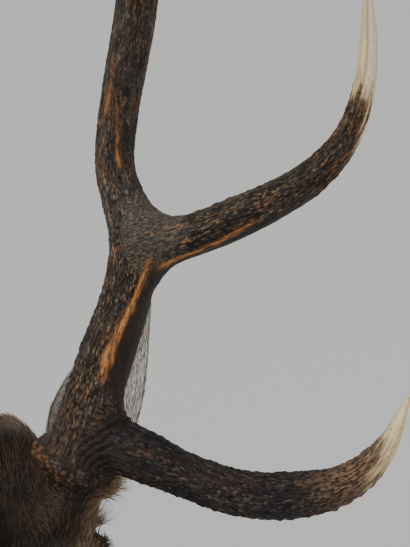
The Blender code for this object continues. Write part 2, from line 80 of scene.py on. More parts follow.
TREZ_TINE = (
    (0.100, 0.062, 0.144, 0.0080),
    (0.139, 0.020, 0.171, 0.0180),
    (0.200, -0.048, 0.226, 0.0145),
    (0.224, -0.066, 0.263, 0.0112),
    (0.239, -0.065, 0.308, 0.0087),
    (0.252, -0.049, 0.350, 0.0058),
    (0.261, -0.034, 0.378, 0.0011),
)
CROWN_OUTER = (
    (0.112, 0.056, 0.632, 0.0100),
    (0.139, 0.046, 0.685, 0.0138),
    (0.168, 0.028, 0.742, 0.0106),
    (0.184, 0.006, 0.800, 0.0060),
    (0.187, -0.004, 0.826, 0.0011),
)
CROWN_REAR = (
    (0.119, 0.070, 0.600, 0.0095),
    (0.118, 0.104, 0.650, 0.0124),
    (0.113, 0.126, 0.706, 0.0095),
    (0.102, 0.136, 0.758, 0.0055),
    (0.097, 0.138, 0.782, 0.0011),
)
RIGHT_LENGTH = {"brow": 0.97, "trez": 0.96, "crown_outer": 1.04,
                "crown_rear": 0.94, "beam": 1.0}
RIGHT_SWAY = 0.012
FACING = np.array([-0.50, -0.78, 0.38])          # side of the antler taken as 0


# ------------------------------------------------------------------ helpers
def unit(v):
    v = np.asarray(v, float)
    return v / np.maximum(np.linalg.norm(v, axis=-1, keepdims=True), 1e-12)


def smooth01(x, a, b):
    t = np.clip((x - a) / (b - a), 0.0, 1.0)
    return t * t * (3 - 2 * t)


def spline(points, per_span):
    """Centripetal Catmull-Rom through rows of numbers."""
    p = np.asarray(points, float)
    p = np.vstack([2 * p[0] - p[1], p, 2 * p[-1] - p[-2]])
    out = []
    for i in range(1, len(p) - 2):
        a, b, c, d = p[i - 1:i + 3]
        k = [0.0]
        for u, v in ((a, b), (b, c), (c, d)):
            k.append(k[-1] + max(np.linalg.norm((v - u)[:3]), 1e-9) ** 0.5)
        for t in np.linspace(k[1], k[2], per_span, endpoint=False):
            a1 = (k[1] - t) / (k[1] - k[0]) * a + (t - k[0]) / (k[1] - k[0]) * b
            a2 = (k[2] - t) / (k[2] - k[1]) * b + (t - k[1]) / (k[2] - k[1]) * c
            a3 = (k[3] - t) / (k[3] - k[2]) * c + (t - k[2]) / (k[3] - k[2]) * d
            b1 = (k[2] - t) / (k[2] - k[0]) * a1 + (t - k[0]) / (k[2] - k[0]) * a2
            b2 = (k[3] - t) / (k[3] - k[1]) * a2 + (t - k[1]) / (k[3] - k[1]) * a3
            out.append((k[2] - t) / (k[2] - k[1]) * b1
                       + (t - k[1]) / (k[2] - k[1]) * b2)
    out.append(p[-2])
    return np.array(out)


def resample(curve, spacing):
    step = np.linalg.norm(np.diff(curve[:, :3], axis=0), axis=1)
    s = np.concatenate([[0.0], np.cumsum(step)])
    n = max(int(round(s[-1] / spacing)), 2)
    want = np.linspace(0.0, s[-1], n + 1)
    return np.stack([np.interp(want, s, curve[:, k])
                     for k in range(curve.shape[1])], axis=1)


def _hash(ix, iy, iz, seed):
    h = (ix.astype(np.int64) * 374761393 + iy.astype(np.int64) * 668265263
         + iz.astype(np.int64) * 1440662683 + seed * 1274126177) & 0xFFFFFFFF
    h = ((h ^ (h >> 13)) * 1274126177) & 0xFFFFFFFF
    h = ((h ^ (h >> 16)) * 2246822519) & 0xFFFFFFFF
    h = h ^ (h >> 15)
    return (h & 0xFFFFFF) / float(0x1000000)


def noise(p, seed=0):
    """Value noise in 0..1 of points (n, 3)."""
    p = np.asarray(p, float)
    i = np.floor(p).astype(np.int64)
    f = p - i
    f = f * f * f * (f * (f * 6 - 15) + 10)
    out = 0.0
    for dx in (0, 1):
        for dy in (0, 1):
            for dz in (0, 1):
                w = ((f[:, 0] if dx else 1 - f[:, 0])
                     * (f[:, 1] if dy else 1 - f[:, 1])
                     * (f[:, 2] if dz else 1 - f[:, 2]))
                out = out + w * _hash(i[:, 0] + dx, i[:, 1] + dy, i[:, 2] + dz,
                                      seed)
    return out


def fbm(p, seed=0, octaves=3, gain=0.5):
    total, amp, norm = 0.0, 1.0, 0.0
    p = np.asarray(p, float)
    for k in range(octaves):
        total = total + amp * noise(p * 2.03 ** k + 17.3 * k, seed + 11 * k)
        norm += amp
        amp *= gain
    return total / norm


def cells(p, seed=0, jitter=0.85):
    """Nearest and second nearest scattered point, and the cell's own number."""
    p = np.asarray(p, float)
    base = np.floor(p).astype(np.int64)
    n = len(p)
    f1 = np.full(n, 9.0)
    f2 = np.full(n, 9.0)
    who = np.zeros(n)
    for dx in (-1, 0, 1):
        for dy in (-1, 0, 1):
            for dz in (-1, 0, 1):
                c = base + np.array([dx, dy, dz])
                q = np.stack([_hash(c[:, 0], c[:, 1], c[:, 2], seed + k)
                              for k in (1, 2, 3)], axis=1)
                q = c + 0.5 + (q - 0.5) * jitter
                d = np.sqrt(((p - q) ** 2).sum(1))
                closer = d < f1
                f2 = np.where(closer, f1, np.minimum(f2, d))
                who = np.where(closer, _hash(c[:, 0], c[:, 1], c[:, 2], seed + 4),
                               who)
                f1 = np.where(closer, d, f1)
    return f1, f2, who


def mix(a, b, t):
    t = np.asarray(t)[..., None]
    return np.asarray(a) * (1 - t) + np.asarray(b) * t


def new_mesh(name, verts, faces):
    me = bpy.data.meshes.new(name)
    verts = np.asarray(verts, np.float32)
    faces = np.asarray(faces, np.int32)
    me.vertices.add(len(verts))
    me.vertices.foreach_set("co", verts.ravel())
    k = faces.shape[1]
    me.loops.add(len(faces) * k)
    me.loops.foreach_set("vertex_index", faces.ravel())
    me.polygons.add(len(faces))
    me.polygons.foreach_set("loop_start", np.arange(0, len(faces) * k, k,
                                                    dtype=np.int32))
    me.update(calc_edges=True)
    me.validate()
    ob = bpy.data.objects.new(name, me)
    bpy.context.scene.collection.objects.link(ob)
    return ob


def coords(me):
    co = np.zeros(len(me.vertices) * 3, np.float32)
    me.vertices.foreach_get("co", co)
    return co.reshape(-1, 3).astype(float)


def set_coords(me, co):
    me.vertices.foreach_set("co", np.asarray(co, np.float32).ravel())
    me.update()


def normals(me):
    no = np.zeros(len(me.vertices) * 3, np.float32)
    me.vertex_normals.foreach_get("vector", no)
    return no.reshape(-1, 3).astype(float)


def edges_of(me):
    e = np.zeros(len(me.edges) * 2, np.int32)
    me.edges.foreach_get("vertices", e)
    return e.reshape(-1, 2)


def relax(me, values, rounds, factor=0.5):
    """Averages per-vertex values over the mesh's edges."""
    e = edges_of(me)
    n = len(me.vertices)
    count = np.bincount(e.ravel(), minlength=n).astype(float)
    count = np.maximum(count, 1)
    v = np.asarray(values, float)
    flat = v.ndim == 1
    if flat:
        v = v[:, None]
    for _ in range(rounds):
        acc = np.stack([np.bincount(e[:, 0], v[e[:, 1], k], n)
                        + np.bincount(e[:, 1], v[e[:, 0], k], n)
                        for k in range(v.shape[1])], axis=1)
        v = v * (1 - factor) + factor * acc / count[:, None]
    return v[:, 0] if flat else v


def paint(me, name, rgb):
    """A colour on every vertex."""
    at = me.color_attributes.new(name=name, type="FLOAT_COLOR", domain="POINT")
    data = np.ones((len(me.vertices), 4), np.float32)
    data[:, :3] = rgb
    at.data.foreach_set("color", data.ravel())


def scalar(me, name, values):
    at = me.attributes.new(name=name, type="FLOAT", domain="POINT")
    at.data.foreach_set("value", np.asarray(values, np.float32))


def evaluated(ob, name):
    """Applies the modifiers of ob and returns the plain object."""
    bpy.context.view_layer.update()
    graph = bpy.context.evaluated_depsgraph_get()
    me = bpy.data.meshes.new_from_object(ob.evaluated_get(graph))
    me.name = name
    bpy.data.objects.remove(ob, do_unlink=True)
    new = bpy.data.objects.new(name, me)
    bpy.context.scene.collection.objects.link(new)
    return new


def grid_tube(centres, radii, sides=28):
    """Closed tube mesh data about a polyline, round ends."""
    c = np.asarray(centres, float)
    t = np.gradient(c, axis=0)
    t = unit(t)
    a = unit(np.cross(t[0], [0.3, 0.9, 0.2]))
    verts, faces = [], []
    for i in range(len(c)):
        a = unit(a - t[i] * (a @ t[i]))
        b = np.cross(t[i], a)
        ang = np.linspace(0, 2 * np.pi, sides, endpoint=False)
        ring = c[i] + radii[i] * (np.cos(ang)[:, None] * a
                                  + np.sin(ang)[:, None] * b)
        verts.append(ring)
    n = len(c)
    verts = np.vstack(verts + [c[:1] - t[:1] * radii[0] * 0.3,
                               c[-1:] + t[-1:] * radii[-1] * 0.6])
    for i in range(n - 1):
        for k in range(sides):
            m = (k + 1) % sides
            faces.append((i * sides + k, i * sides + m,
                          (i + 1) * sides + m, (i + 1) * sides + k))
    first, last = n * sides, n * sides + 1
    for k in range(sides):
        m = (k + 1) % sides
        faces.append((first, m, k, k))
        faces.append((last, (n - 1) * sides + k, (n - 1) * sides + m,
                      (n - 1) * sides + m))
    return verts, faces


def shells_object(name, parts):
    """One object from several closed shells given as (verts, faces)."""
    bm = bmesh.new()
    for verts, faces in parts:
        vs = [bm.verts.new(v) for v in verts]
        for f in faces:
            idx = list(dict.fromkeys(f))
            bm.faces.new([vs[i] for i in idx])
    bmesh.ops.recalc_face_normals(bm, faces=bm.faces)
    me = bpy.data.meshes.new(name)
    bm.to_mesh(me)
    bm.free()
    ob = bpy.data.objects.new(name, me)
    bpy.context.scene.collection.objects.link(ob)
    return ob


# ------------------------------------------------------------------ nodes
def new_material(name):
    mat = bpy.data.materials.new(name)
    mat.use_nodes = True
    nt = mat.node_tree
    return mat, nt, nt.nodes["Principled BSDF"]


def node(nt, kind, **values):
    n = nt.nodes.new(kind)
    for key, value in values.items():
        if key.startswith("_"):
            setattr(n, key[1:], value)
        else:
            n.inputs[key.replace("_", " ")].default_value = value
    return n


def ramp(nt, stops, fac):
    n = nt.nodes.new("ShaderNodeValToRGB")
    el = n.color_ramp.elements
    while len(el) > 1:
        el.remove(el[-1])
    el[0].position = stops[0][0]
    el[0].color = (*stops[0][1], 1)
    for pos, col in stops[1:]:
        e = el.new(pos)
        e.color = (*col, 1)
    nt.links.new(fac, n.inputs["Fac"])
    return n


# ------------------------------------------------------------------ camera
CAM_AT = Vector((-0.10821, -0.83123, 0.96415))
CAM_AZ, CAM_PITCH = math.radians(-32.7), math.radians(22.5)


def make_camera():
    data = bpy.data.cameras.new("camera")
    ob = bpy.data.objects.new("camera", data)
    bpy.context.scene.collection.objects.link(ob)
    look = Vector((-math.sin(CAM_AZ) * math.cos(CAM_PITCH),
                   math.cos(CAM_AZ) * math.cos(CAM_PITCH),
                   -math.sin(CAM_PITCH)))
    ob.location = CAM_AT
    ob.rotation_euler = look.to_track_quat("-Z", "Y").to_euler()
    data.lens = 46.07
    data.sensor_width = 36.0
    data.clip_start = 0.02
    data.clip_end = 1000.0
    bpy.context.scene.camera = ob
    return ob


def area_light(name, at, to, size, power, colour=(1, 1, 1)):
    data = bpy.data.lights.new(name, "AREA")
    data.shape = "RECTANGLE"
    data.size, data.size_y = size
    data.energy = power
    data.color = colour
    ob = bpy.data.objects.new(name, data)
    bpy.context.scene.collection.objects.link(ob)
    ob.location = at
    ob.rotation_euler = (Vector(to) - Vector(at)).to_track_quat("-Z", "Y").to_euler()
    return ob


def make_stage():
    bpy.ops.mesh.primitive_plane_add(size=400, location=(0, 0, -0.42))
    floor = bpy.context.active_object
    floor.name = "floor"
    mat, nt, bsdf = new_material("floor_paint")
    bsdf.inputs["Base Color"].default_value = (0.60, 0.60, 0.59, 1)
    bsdf.inputs["Roughness"].default_value = 0.85
    floor.data.materials.append(mat)
    world = bpy.data.worlds.new("studio")
    world.use_nodes = True
    back = world.node_tree.nodes["Background"]
    back.inputs["Color"].default_value = (0.80, 0.83, 0.88, 1)
    back.inputs["Strength"].default_value = 0.42
    bpy.context.scene.world = world
    sun = bpy.data.lights.new("window", "SUN")
    sun.energy = 2.6
    sun.angle = math.radians(38)
    sun.color = (1.0, 0.985, 0.955)
    ob = bpy.data.objects.new("window", sun)
    bpy.context.scene.collection.objects.link(ob)
    ob.rotation_euler = Vector((0.587, -0.103, -0.846)).to_track_quat(
        "-Z", "Y").to_euler()
    area_light("fill", (1.6, -3.0, 1.6), (0.0, -0.3, 0.4), (2.4, 2.4), 16,
               (1.0, 0.99, 0.97))


# ------------------------------------------------------------------ antlers
def branch_lines(side):
    own = RIGHT_LENGTH if side < 0 else dict.fromkeys(RIGHT_LENGTH, 1.0)
    sway = RIGHT_SWAY if side < 0 else 0.0
    out = {}
    for key, pts in (("beam", BEAM), ("brow", BROW_TINE), ("trez", TREZ_TINE),
                     ("crown_outer", CROWN_OUTER), ("crown_rear", CROWN_REAR)):
        rows = spline(pts, 10)
        start = rows[0, :3].copy()
        rows[:, :3] = start + (rows[:, :3] - start) * own[key]
        rows[:, 0] -= sway * np.clip(rows[:, 2] / 0.85, 0, 1.2) ** 2
        rows = resample(rows, 0.008)
        rows[:, 0] *= side
        rows[:, :3] += O + AX * BURR_X * side
        out[key] = rows
    return out


def to_branch(p, rows, side):
    """Distance to the surface of a tapered tube, place along it, angle round
    it from the facing side, outward direction and radius there."""
    c, r = rows[:, :3], rows[:, 3]
    seg = c[1:] - c[:-1]
    length = np.linalg.norm(seg, axis=1)
    along = np.concatenate([[0.0], np.cumsum(length)])
    n = len(p)
    dist = np.empty(n)
    s = np.empty(n)
    foot = np.empty((n, 3))
    rad = np.empty(n)
    tang = np.empty((n, 3))
    tan_at = unit(np.gradient(c, axis=0))
    for lo in range(0, n, 15000):
        q = p[lo:lo + 15000]
        rel = q[:, None, :] - c[None, :-1, :]
        t = np.clip((rel * seg[None]).sum(2) / (length ** 2)[None], 0, 1)
        near = rel - t[..., None] * seg[None]
        rr = r[None, :-1] + t * (r[1:] - r[:-1])[None]
        d = np.sqrt((near ** 2).sum(2)) - rr
        low = d.min(axis=1)
        dist[lo:lo + 15000] = low
        w = np.exp(-np.clip((d - low[:, None]) / 0.0026, 0, 30))
        w = w / w.sum(axis=1)[:, None]
        free = t.copy()                       # runs on below the root
        free[:, 0] = np.minimum((rel[:, 0] @ seg[0]) / length[0] ** 2, t[:, 0])
        s[lo:lo + 15000] = (w * (along[None, :-1] + free * length[None])).sum(1)
        w0, w1 = w * (1 - t), w * t
        foot[lo:lo + 15000] = w0 @ c[:-1] + w1 @ c[1:]
        rad[lo:lo + 15000] = (w * rr).sum(1)
        tang[lo:lo + 15000] = unit(w0 @ tan_at[:-1] + w1 @ tan_at[1:])
    out = unit(p - foot)
    face = FACING * np.array([side, 1, 1])
    a = unit(face - tang * (tang @ face)[:, None])
    b = np.cross(tang, a) * side
    theta = np.arctan2((out * b).sum(1), (out * a).sum(1))
    return dist, s, theta, out, rad, along[-1]


def bark(s, theta, rad, total, kind, seed):
    """Relief in metres, ridge colour, roughness of form, wear and the bark's
    own coordinates in millimetres, along one branch."""
    mm = 0.001
    u = s / mm
    x, y = 19.0 * np.cos(theta), 19.0 * np.sin(theta)
    warp = fbm(np.stack([u / 30, x / 12, y / 12], 1), seed + 50, 2) - 0.5
    tw = theta + 0.35 * warp + (0.5 * u / 1000)
    girth = {"beam": 20.0, "brow": 18.0, "trez": 16.0}.get(kind, 13.0)
    x2, y2 = girth * np.cos(tw), girth * np.sin(tw)
    q = lambda l, w, off=0.0: np.stack([u / l + off, x2 / w, y2 / w], 1)
    share = s / total
    # broad flutes, grooves, beads
    flute = noise(q(75, 7.5), seed) - 0.5
    g = noise(q(24, 3.2), seed + 1)
    groove = 1 - np.abs(2 * g - 1)                      # 1 on the ridge lines
    bead_l, bead_w = {"beam": (6.6, 3.7), "brow": (5.4, 3.9),
                      "trez": (6.4, 3.7)}.get(kind, (7.0, 4.0))
    f1, f2, who = cells(q(bead_l, bead_w), seed + 3)
    bead = np.clip(1 - (f1 / 0.62) ** 2, 0, 1) * (0.45 + 0.75 * who)
    wear = np.zeros_like(s)            # smooth orange ridges
    shaded_smooth_face = np.zeros_like(s)            # smooth faces on the side away from the light, painted near black as shade
    if kind == "beam":
        rough = 1 - smooth01(share, 0.86, 0.95)
        fibre = smooth01(s, 0.20, 0.30)                 # upper beam is fibrous
        line = 0.16 + 0.54 * smooth01(s, 0.09, 0.20)
        edge = (theta - line - 0.12 * (noise(q(9, 4), seed + 20) - 0.5)) * rad
        broad = 0.0043 - 0.0016 * smooth01(s, 0.085, 0.125)
        wear = (np.exp(-(edge / broad) ** 4)
                * (1 - 0.75 * gauss1(edge - 0.0006, 0.0005))
                * smooth01(s + 0.004 * np.sin(edge * 900), 0.070, 0.078) * (1 - smooth01(s, 0.185, 0.210)))
        shaded_smooth_face = (smooth01(edge, 0.002, 0.005) * (1 - smooth01(theta, 2.2, 2.6))
                * smooth01(s, 0.052, 0.075) * (1 - smooth01(s, 0.19, 0.22)))
        stripe = (theta - 0.10 - 0.20 * np.sin(u / 35)) * rad
        wear2 = (np.exp(-(stripe / 0.0020) ** 2) * smooth01(s, 0.262, 0.285)
                 * (1 - smooth01(s, 0.325, 0.352)))
        stripe = (theta + 0.62 + 0.1 * np.sin(u / 20)) * rad
        wear3 = (np.exp(-(stripe / 0.0024) ** 2) * smooth01(s, 0.315, 0.335)
                 * (1 - smooth01(s, 0.36, 0.39)))
        wear = np.maximum(wear, np.maximum(0.85 * wear2, 0.7 * wear3)
                          * smooth01(noise(q(9, 1.6), seed + 21), 0.22, 0.5))
        h = (1.1 * flute + (0.60 + 0.60 * fibre) * (groove - 0.5)
             + (1.35 - 0.85 * fibre) * bead)
    elif kind == "brow":
        rough = 1 - smooth01(share + 0.05 * np.sin(theta + 0.6)
                             + 0.10 * (noise(q(9, 3), seed + 22) - 0.5),
                             0.76, 0.90)
        under = smooth01(theta, 0.3, 1.5) * (1 - smooth01(theta, 2.4, 3.0))
        h = (0.8 * flute + 0.45 * (groove - 0.5)
             + (1.05 + 0.6 * under) * bead)
    elif kind == "trez":
        rough = 1 - smooth01(share + 0.07 * np.maximum(np.sin(theta), -0.15)
                             + 0.16 * (noise(q(14, 2.6), seed + 22) - 0.5),
                             0.635, 0.775)
        line = 0.85 - 0.25 * smooth01(s, 0.06, 0.13)
        edge = (theta - line) * rad
        wear = (np.exp(-(edge / 0.0022) ** 2) * smooth01(s, 0.015, 0.035)
                * (1 - smooth01(s, 0.105, 0.135))
                * smooth01(noise(q(12, 2.0), seed + 21), 0.12, 0.35))
        shaded_smooth_face = (smooth01(edge, 0.001, 0.004) * (1 - smooth01(theta, 2.2, 2.7))
                * smooth01(s, 0.0, 0.02) * (1 - smooth01(s, 0.13, 0.19)))
        h = (0.9 * flute + 0.6 * (groove - 0.5) + 1.15 * bead)
    else:
        rough = 1 - smooth01(share + 0.14 * (noise(q(12, 3), seed + 22) - 0.5),
                             0.50, 0.78)
        h = 0.8 * flute + 0.8 * (groove - 0.5) + 0.7 * bead
    flat = np.clip(np.maximum(wear, 0.85 * shaded_smooth_face), 0, 1)
    h = h * (1 - flat) + (0.30 * (groove - 0.5) + 0.55 * wear) * flat
    h = h * rough + (1 - rough) * (0.22 * flute + 0.06 * (groove - 0.5))
    # colours of the ridges; the grooves and flecks are the shader's
    tint = fbm(q(34, 8), seed + 30, 3)
    tint2 = noise(q(13, 3.6), seed + 31)
    brown = np.array([0.064, 0.041, 0.027])
    grey = np.array([0.082, 0.067, 0.053])
    rust = np.array([0.150, 0.058, 0.024])
    black = np.array([0.0105, 0.0080, 0.0066])
    orange = np.array([0.56, 0.235, 0.062])
    ivory = np.array([0.92, 0.765, 0.445])
    cream = np.array([0.70, 0.47, 0.21])
    col = mix(brown, grey, smooth01(tint2, 0.30, 0.72))
    col = mix(col, rust, smooth01(tint, 0.53, 0.68) * 0.55)
    col = mix(col, black, smooth01(1 - tint, 0.52, 0.68) * 0.60)
    if kind == "beam":
        col = col * (1 + 0.42 * smooth01(s, 0.20, 0.30))[:, None]
        low = 1 - smooth01(s, 0.19, 0.26)
        col = mix(col, np.array([0.085, 0.050, 0.030]), 0.35 * low)
        col = mix(col, np.array([0.13, 0.110, 0.090]),
                  0.6 * gauss1(s - 0.225, 0.030) * smooth01(-np.cos(theta - 2.3),
                                                            -0.9, 0.0))
    if kind == "brow":
        # painted shade: the brow tine is darkened and greyed, and darker still towards its root
        col = col * np.array([0.44, 0.475, 0.55])
        col = mix(col, col * 0.66, 1 - smooth01(share, 0.0, 0.16))
        col = mix(col, rust * 1.2, smooth01(share, 0.58, 0.74) * 0.55
                  * smooth01(tint2, 0.25, 0.6))
        col = mix(col, np.array([0.345, 0.212, 0.120]),
                  smooth01(share, 0.58, 0.78) * 0.74)
    if kind == "trez":
        top = smooth01(-theta, -0.3, 0.8) * (1 - smooth01(-theta, 1.9, 2.6))
        col = mix(col, np.array([0.125, 0.088, 0.048]), 0.6 * top
                  * smooth01(tint2, 0.25, 0.6))
        col = mix(col, rust * 1.15, 0.5 * smooth01(share, 0.50, 0.62)
                  * smooth01(tint, 0.42, 0.58))
    # painted shade: the smooth face on the side turned from the light goes near black
    col = mix(col, black * 0.9, 0.80 * shaded_smooth_face)
    streak = smooth01(noise(q(30, 1.3), seed + 33), 0.28, 0.52)
    col = mix(col, mix(rust * 1.3, orange, streak),
              np.clip(wear * 1.35, 0, 1) * 0.95)
    # ivory ends
    pale = 1 - rough
    vein = smooth01(noise(q(38, 1.5), seed + 34), 0.62, 0.80)
    end = mix(ivory, cream, 0.50 * smooth01(noise(q(30, 4), seed + 35), 0.35, 0.7))
    end = mix(end, brown * 2, 0.45 * vein * (1 - smooth01(share, 0.90, 1.0)))
    if kind == "trez":
        near = smooth01(-theta, 0.30, 0.60) * (1 - smooth01(-theta, 2.2, 2.7))
        end = mix(end, np.array([0.70, 0.575, 0.290]), 0.55 * near)
        end = mix(end, np.array([0.80, 0.735, 0.600]), 0.45 * (1 - near))
        end = mix(end, np.array([0.62, 0.420, 0.160]),
                  0.60 * (1 - smooth01(pale, 0.75, 1.0)))
        crease = np.exp(-(((theta + 0.35) * rad) / 0.0011) ** 2)
        end = mix(end, np.array([0.14, 0.08, 0.038]),
                  0.70 * crease * (1 - smooth01(share, 0.93, 0.99)))
    trans = np.clip(pale * 4 * (1 - pale), 0, 1)
    end = mix(end, rust, trans * smooth01(groove, 0.3, 0.9) * 0.5)
    end = mix(end, black, trans * smooth01(1 - g, 0.50, 0.72) * 0.85)
    col = mix(col, end, smooth01(pale, 0.15, 0.75))
    fine = np.clip((1 - flat) * (1 - smooth01(pale, 0.1, 0.85)), 0, 1)
    if kind == "beam":
        fine = fine * (1 - 0.26 * smooth01(s, 0.20, 0.30))
    frame2 = np.stack([u, x2, y2], 1) + (seed % 97)
    return h * mm, col, fine, np.clip(wear, 0, 1), shaded_smooth_face, pale, frame2


def gauss1(x, s):
    return np.exp(-(x / s) ** 2)


# how round each fork is, above and below the tine
FORK_ROUND = {"brow": (0.034, 0.024), "trez": (0.064, 0.040),
              "crown_outer": (0.020, 0.020), "crown_rear": (0.020, 0.020)}
RING_ROUND = 0.010


def make_antler(side, word, seed):
    lines = branch_lines(side)
    order = ["beam", "brow", "trez", "crown_outer", "crown_rear"]
    parts = [grid_tube(lines[k][:, :3], np.maximum(lines[k][:, 3], 0.0012), 24)
             for k in order]
    centre = O + AX * BURR_X * side
    ax = BURR_AXIS * np.array([side, 1, 1])
    e1 = unit(np.cross(ax, [0.1, 1.0, 0.2]))
    e2 = np.cross(ax, e1)
    ang = np.linspace(0, 2 * np.pi, 72, endpoint=False)
    RING, THICK = 0.0302, 0.0064
    tv, tf = [], []
    for i, a in enumerate(ang):
        out = np.cos(a) * e1 + np.sin(a) * e2
        b = np.linspace(0, 2 * np.pi, 16, endpoint=False)
        tv.append(centre + RING * out
                  + THICK * (np.cos(b)[:, None] * out
                             + np.sin(b)[:, None] * ax))
        for k in range(16):
            m = (k + 1) % 16
            j = (i + 1) % 72
            tf.append((i * 16 + k, i * 16 + m, j * 16 + m, j * 16 + k))
    parts.append((np.vstack(tv), tf))
    ob = shells_object("antler_raw", parts)

    def ring_field(q):
        rel = q - centre
        hgt = rel @ ax
        flat = rel - hgt[:, None] * ax
        rho = np.linalg.norm(flat, axis=1)
        out = flat / np.maximum(rho, 1e-9)[:, None]
        phi = np.arctan2(out @ e2, out @ e1)
        wob = 0.0024 * (noise(np.stack([np.cos(phi) * 2.2, np.sin(phi) * 2.2,
                                        np.zeros_like(phi)], 1), seed + 70) - 0.5)
        up = hgt - 0.0016 * (noise(np.stack(
            [np.cos(phi) * 1.6, np.sin(phi) * 1.6, np.ones_like(phi)], 1),
            seed + 71) - 0.5)
        d3 = (rho - RING - wob)[:, None] * out + up[:, None] * ax
        dl = np.linalg.norm(d3, axis=1)
        return dl - THICK, unit(d3), phi, np.arctan2(hgt, rho - RING)

    def join(a, ga, b, gb, k):
        h = np.clip(k - np.abs(a - b), 0, None) / k
        low = a < b
        gl = np.where(low[:, None], ga, gb)
        gh = np.where(low[:, None], gb, ga)
        return (np.minimum(a, b) - h * h * k / 4,
                gl * (1 - h / 2)[:, None] + gh * (h / 2)[:, None])

    def settle(p, rounds, most):
        for _ in range(rounds):
            d0, s, th, g0, rad, tot = to_branch(p, lines["beam"], side)
            for k in order[1:]:
                d1, s, th, g1, rad, tot = to_branch(p, lines[k], side)
                above, below = FORK_ROUND[k]
                foot = lines[k][min(2, len(lines[k]) - 1), :3]
                up = {"brow": np.array([0.35 * side, 0.3, 0.88])}.get(
                    k, np.array([0.10 * side, 0.25, 0.96]))
                turn = smooth01((p - foot) @ up, -0.020, 0.026)
                wide = below + (above - below) * turn
                t1 = unit(lines[k][5, :3] - lines[k][0, :3])
                front = smooth01((p - lines[k][0, :3]) @ t1, -0.016, 0.012)
                d0, g0 = join(d0, g0, d1, g1, 0.008 + (wide - 0.008) * front)
            d1, g1, phi, psi = ring_field(p)
            d0, g0 = join(d0, g0, d1, g1, RING_ROUND)
            gl = np.maximum((g0 ** 2).sum(1), 0.30)
            p = p - g0 * np.clip(d0 / gl, -most, most)[:, None]
        return p

    # the forks are rounded on a coarse form first, then on the fine one
    for stage, voxel in ((0, 0.0046),
                         (1, (0.00178 if side > 0 else 0.00212))):
        if stage == 1:                        # the thin ends again
            form = (p, [tuple(f.vertices) for f in me.polygons])
            bpy.data.objects.remove(ob)
            ob = shells_object("antler_again", parts + [form])
        mod = ob.modifiers.new("skin", "REMESH")
        mod.mode = "VOXEL"
        mod.voxel_size = voxel
        ob = evaluated(ob, ("antler_form", "antler_" + word)[stage])
        me = ob.data
        p = coords(me)
        if stage == 0:
            for _ in range(7):
                p = settle(p, 1, 0.006)
                p = relax(me, p, 1, 0.4)
            p = settle(p, 1, 0.004)
        else:
            p = settle(p, 2, 0.004)
            set_coords(me, p)
            p = relax(me, p, 2, 0.35)
        set_coords(me, p)
    nrm = normals(me)
    # relief and colour from the nearest branches
    ds, got = [], []
    for i, k in enumerate(order):
        d, s, th, out, rad, tot = to_branch(p, lines[k], side)
        ds.append(d)
        got.append(bark(s, th, rad, tot, k, seed + 100 * i))
    d, g, phi, psi = ring_field(p)
    knob = np.stack([np.cos(phi) * 8.6, np.sin(phi) * 8.6, psi * 2.1], 1)
    f1, f2, who = cells(knob, seed + 80, 0.75)
    beadr = np.clip(1 - (f1 / 0.66) ** 2, 0, 1) * (0.5 + 0.7 * who)
    hr = (2.1 * beadr + 0.8 * (noise(p / 0.006, seed + 81) - 0.5)) * 0.001
    kt = smooth01(noise(p / 0.013, seed + 82), 0.40, 0.62)
    spot = smooth01(noise(p / 0.030, seed + 84), 0.36, 0.60)
    dark = np.array([0.014, 0.010, 0.0075])
    knob_c = mix([0.27, 0.098, 0.030], [0.165, 0.110, 0.068], kt)
    knob_c = mix(knob_c, np.array([0.060, 0.045, 0.035]), 0.70 * (1 - spot))
    cr = mix(dark, knob_c, smooth01(beadr, 0.30, 0.85))
    # painted shade: the burr is darkened on its outer front side, turned from the light
    burr_shade_side = ((p - centre) @ unit(np.array([0.84 * side, -0.54, 0.05]))) / RING
    cr = mix(cr, cr * 0.30, smooth01(burr_shade_side, 0.25, 0.75))
    zero = np.zeros(len(p))
    ring_fr = np.stack([RING * 1000 * phi * 0.6, 1000 * (p @ ax), zero], 1)
    ds.append(d + 0.0006)
    got.append((hr, cr, 0.25 + zero, zero, zero, zero, p * 1000))
    ds = np.array(ds)
    w = np.exp(-(ds - ds.min(0)) / 0.0030)
    w = w / w.sum(0)
    blend = lambda i: sum((w[k] * got[k][i].T).T for k in range(len(got)))
    h, col, fine, wear, shaded_smooth_face, pale = [blend(i) for i in range(6)]
    who = ds[:5].argmin(0)
    frame2 = np.choose(who[:, None], [got[k][6] for k in range(5)])
    two = np.sort(ds[:5], axis=0)
    shared = 1 - smooth01(two[1] - two[0], 0.0020, 0.0075)
    shared = np.maximum(shared, smooth01(w[5], 0.15, 0.50))
    t1 = unit(lines["brow"][4, :3] - lines["brow"][0, :3])
    t2 = unit(np.cross(t1, FACING * np.array([side, 1, 1])))
    own_frame = 1000 * np.stack([p @ t1, p @ t2, p @ np.cross(t1, t2)], 1)
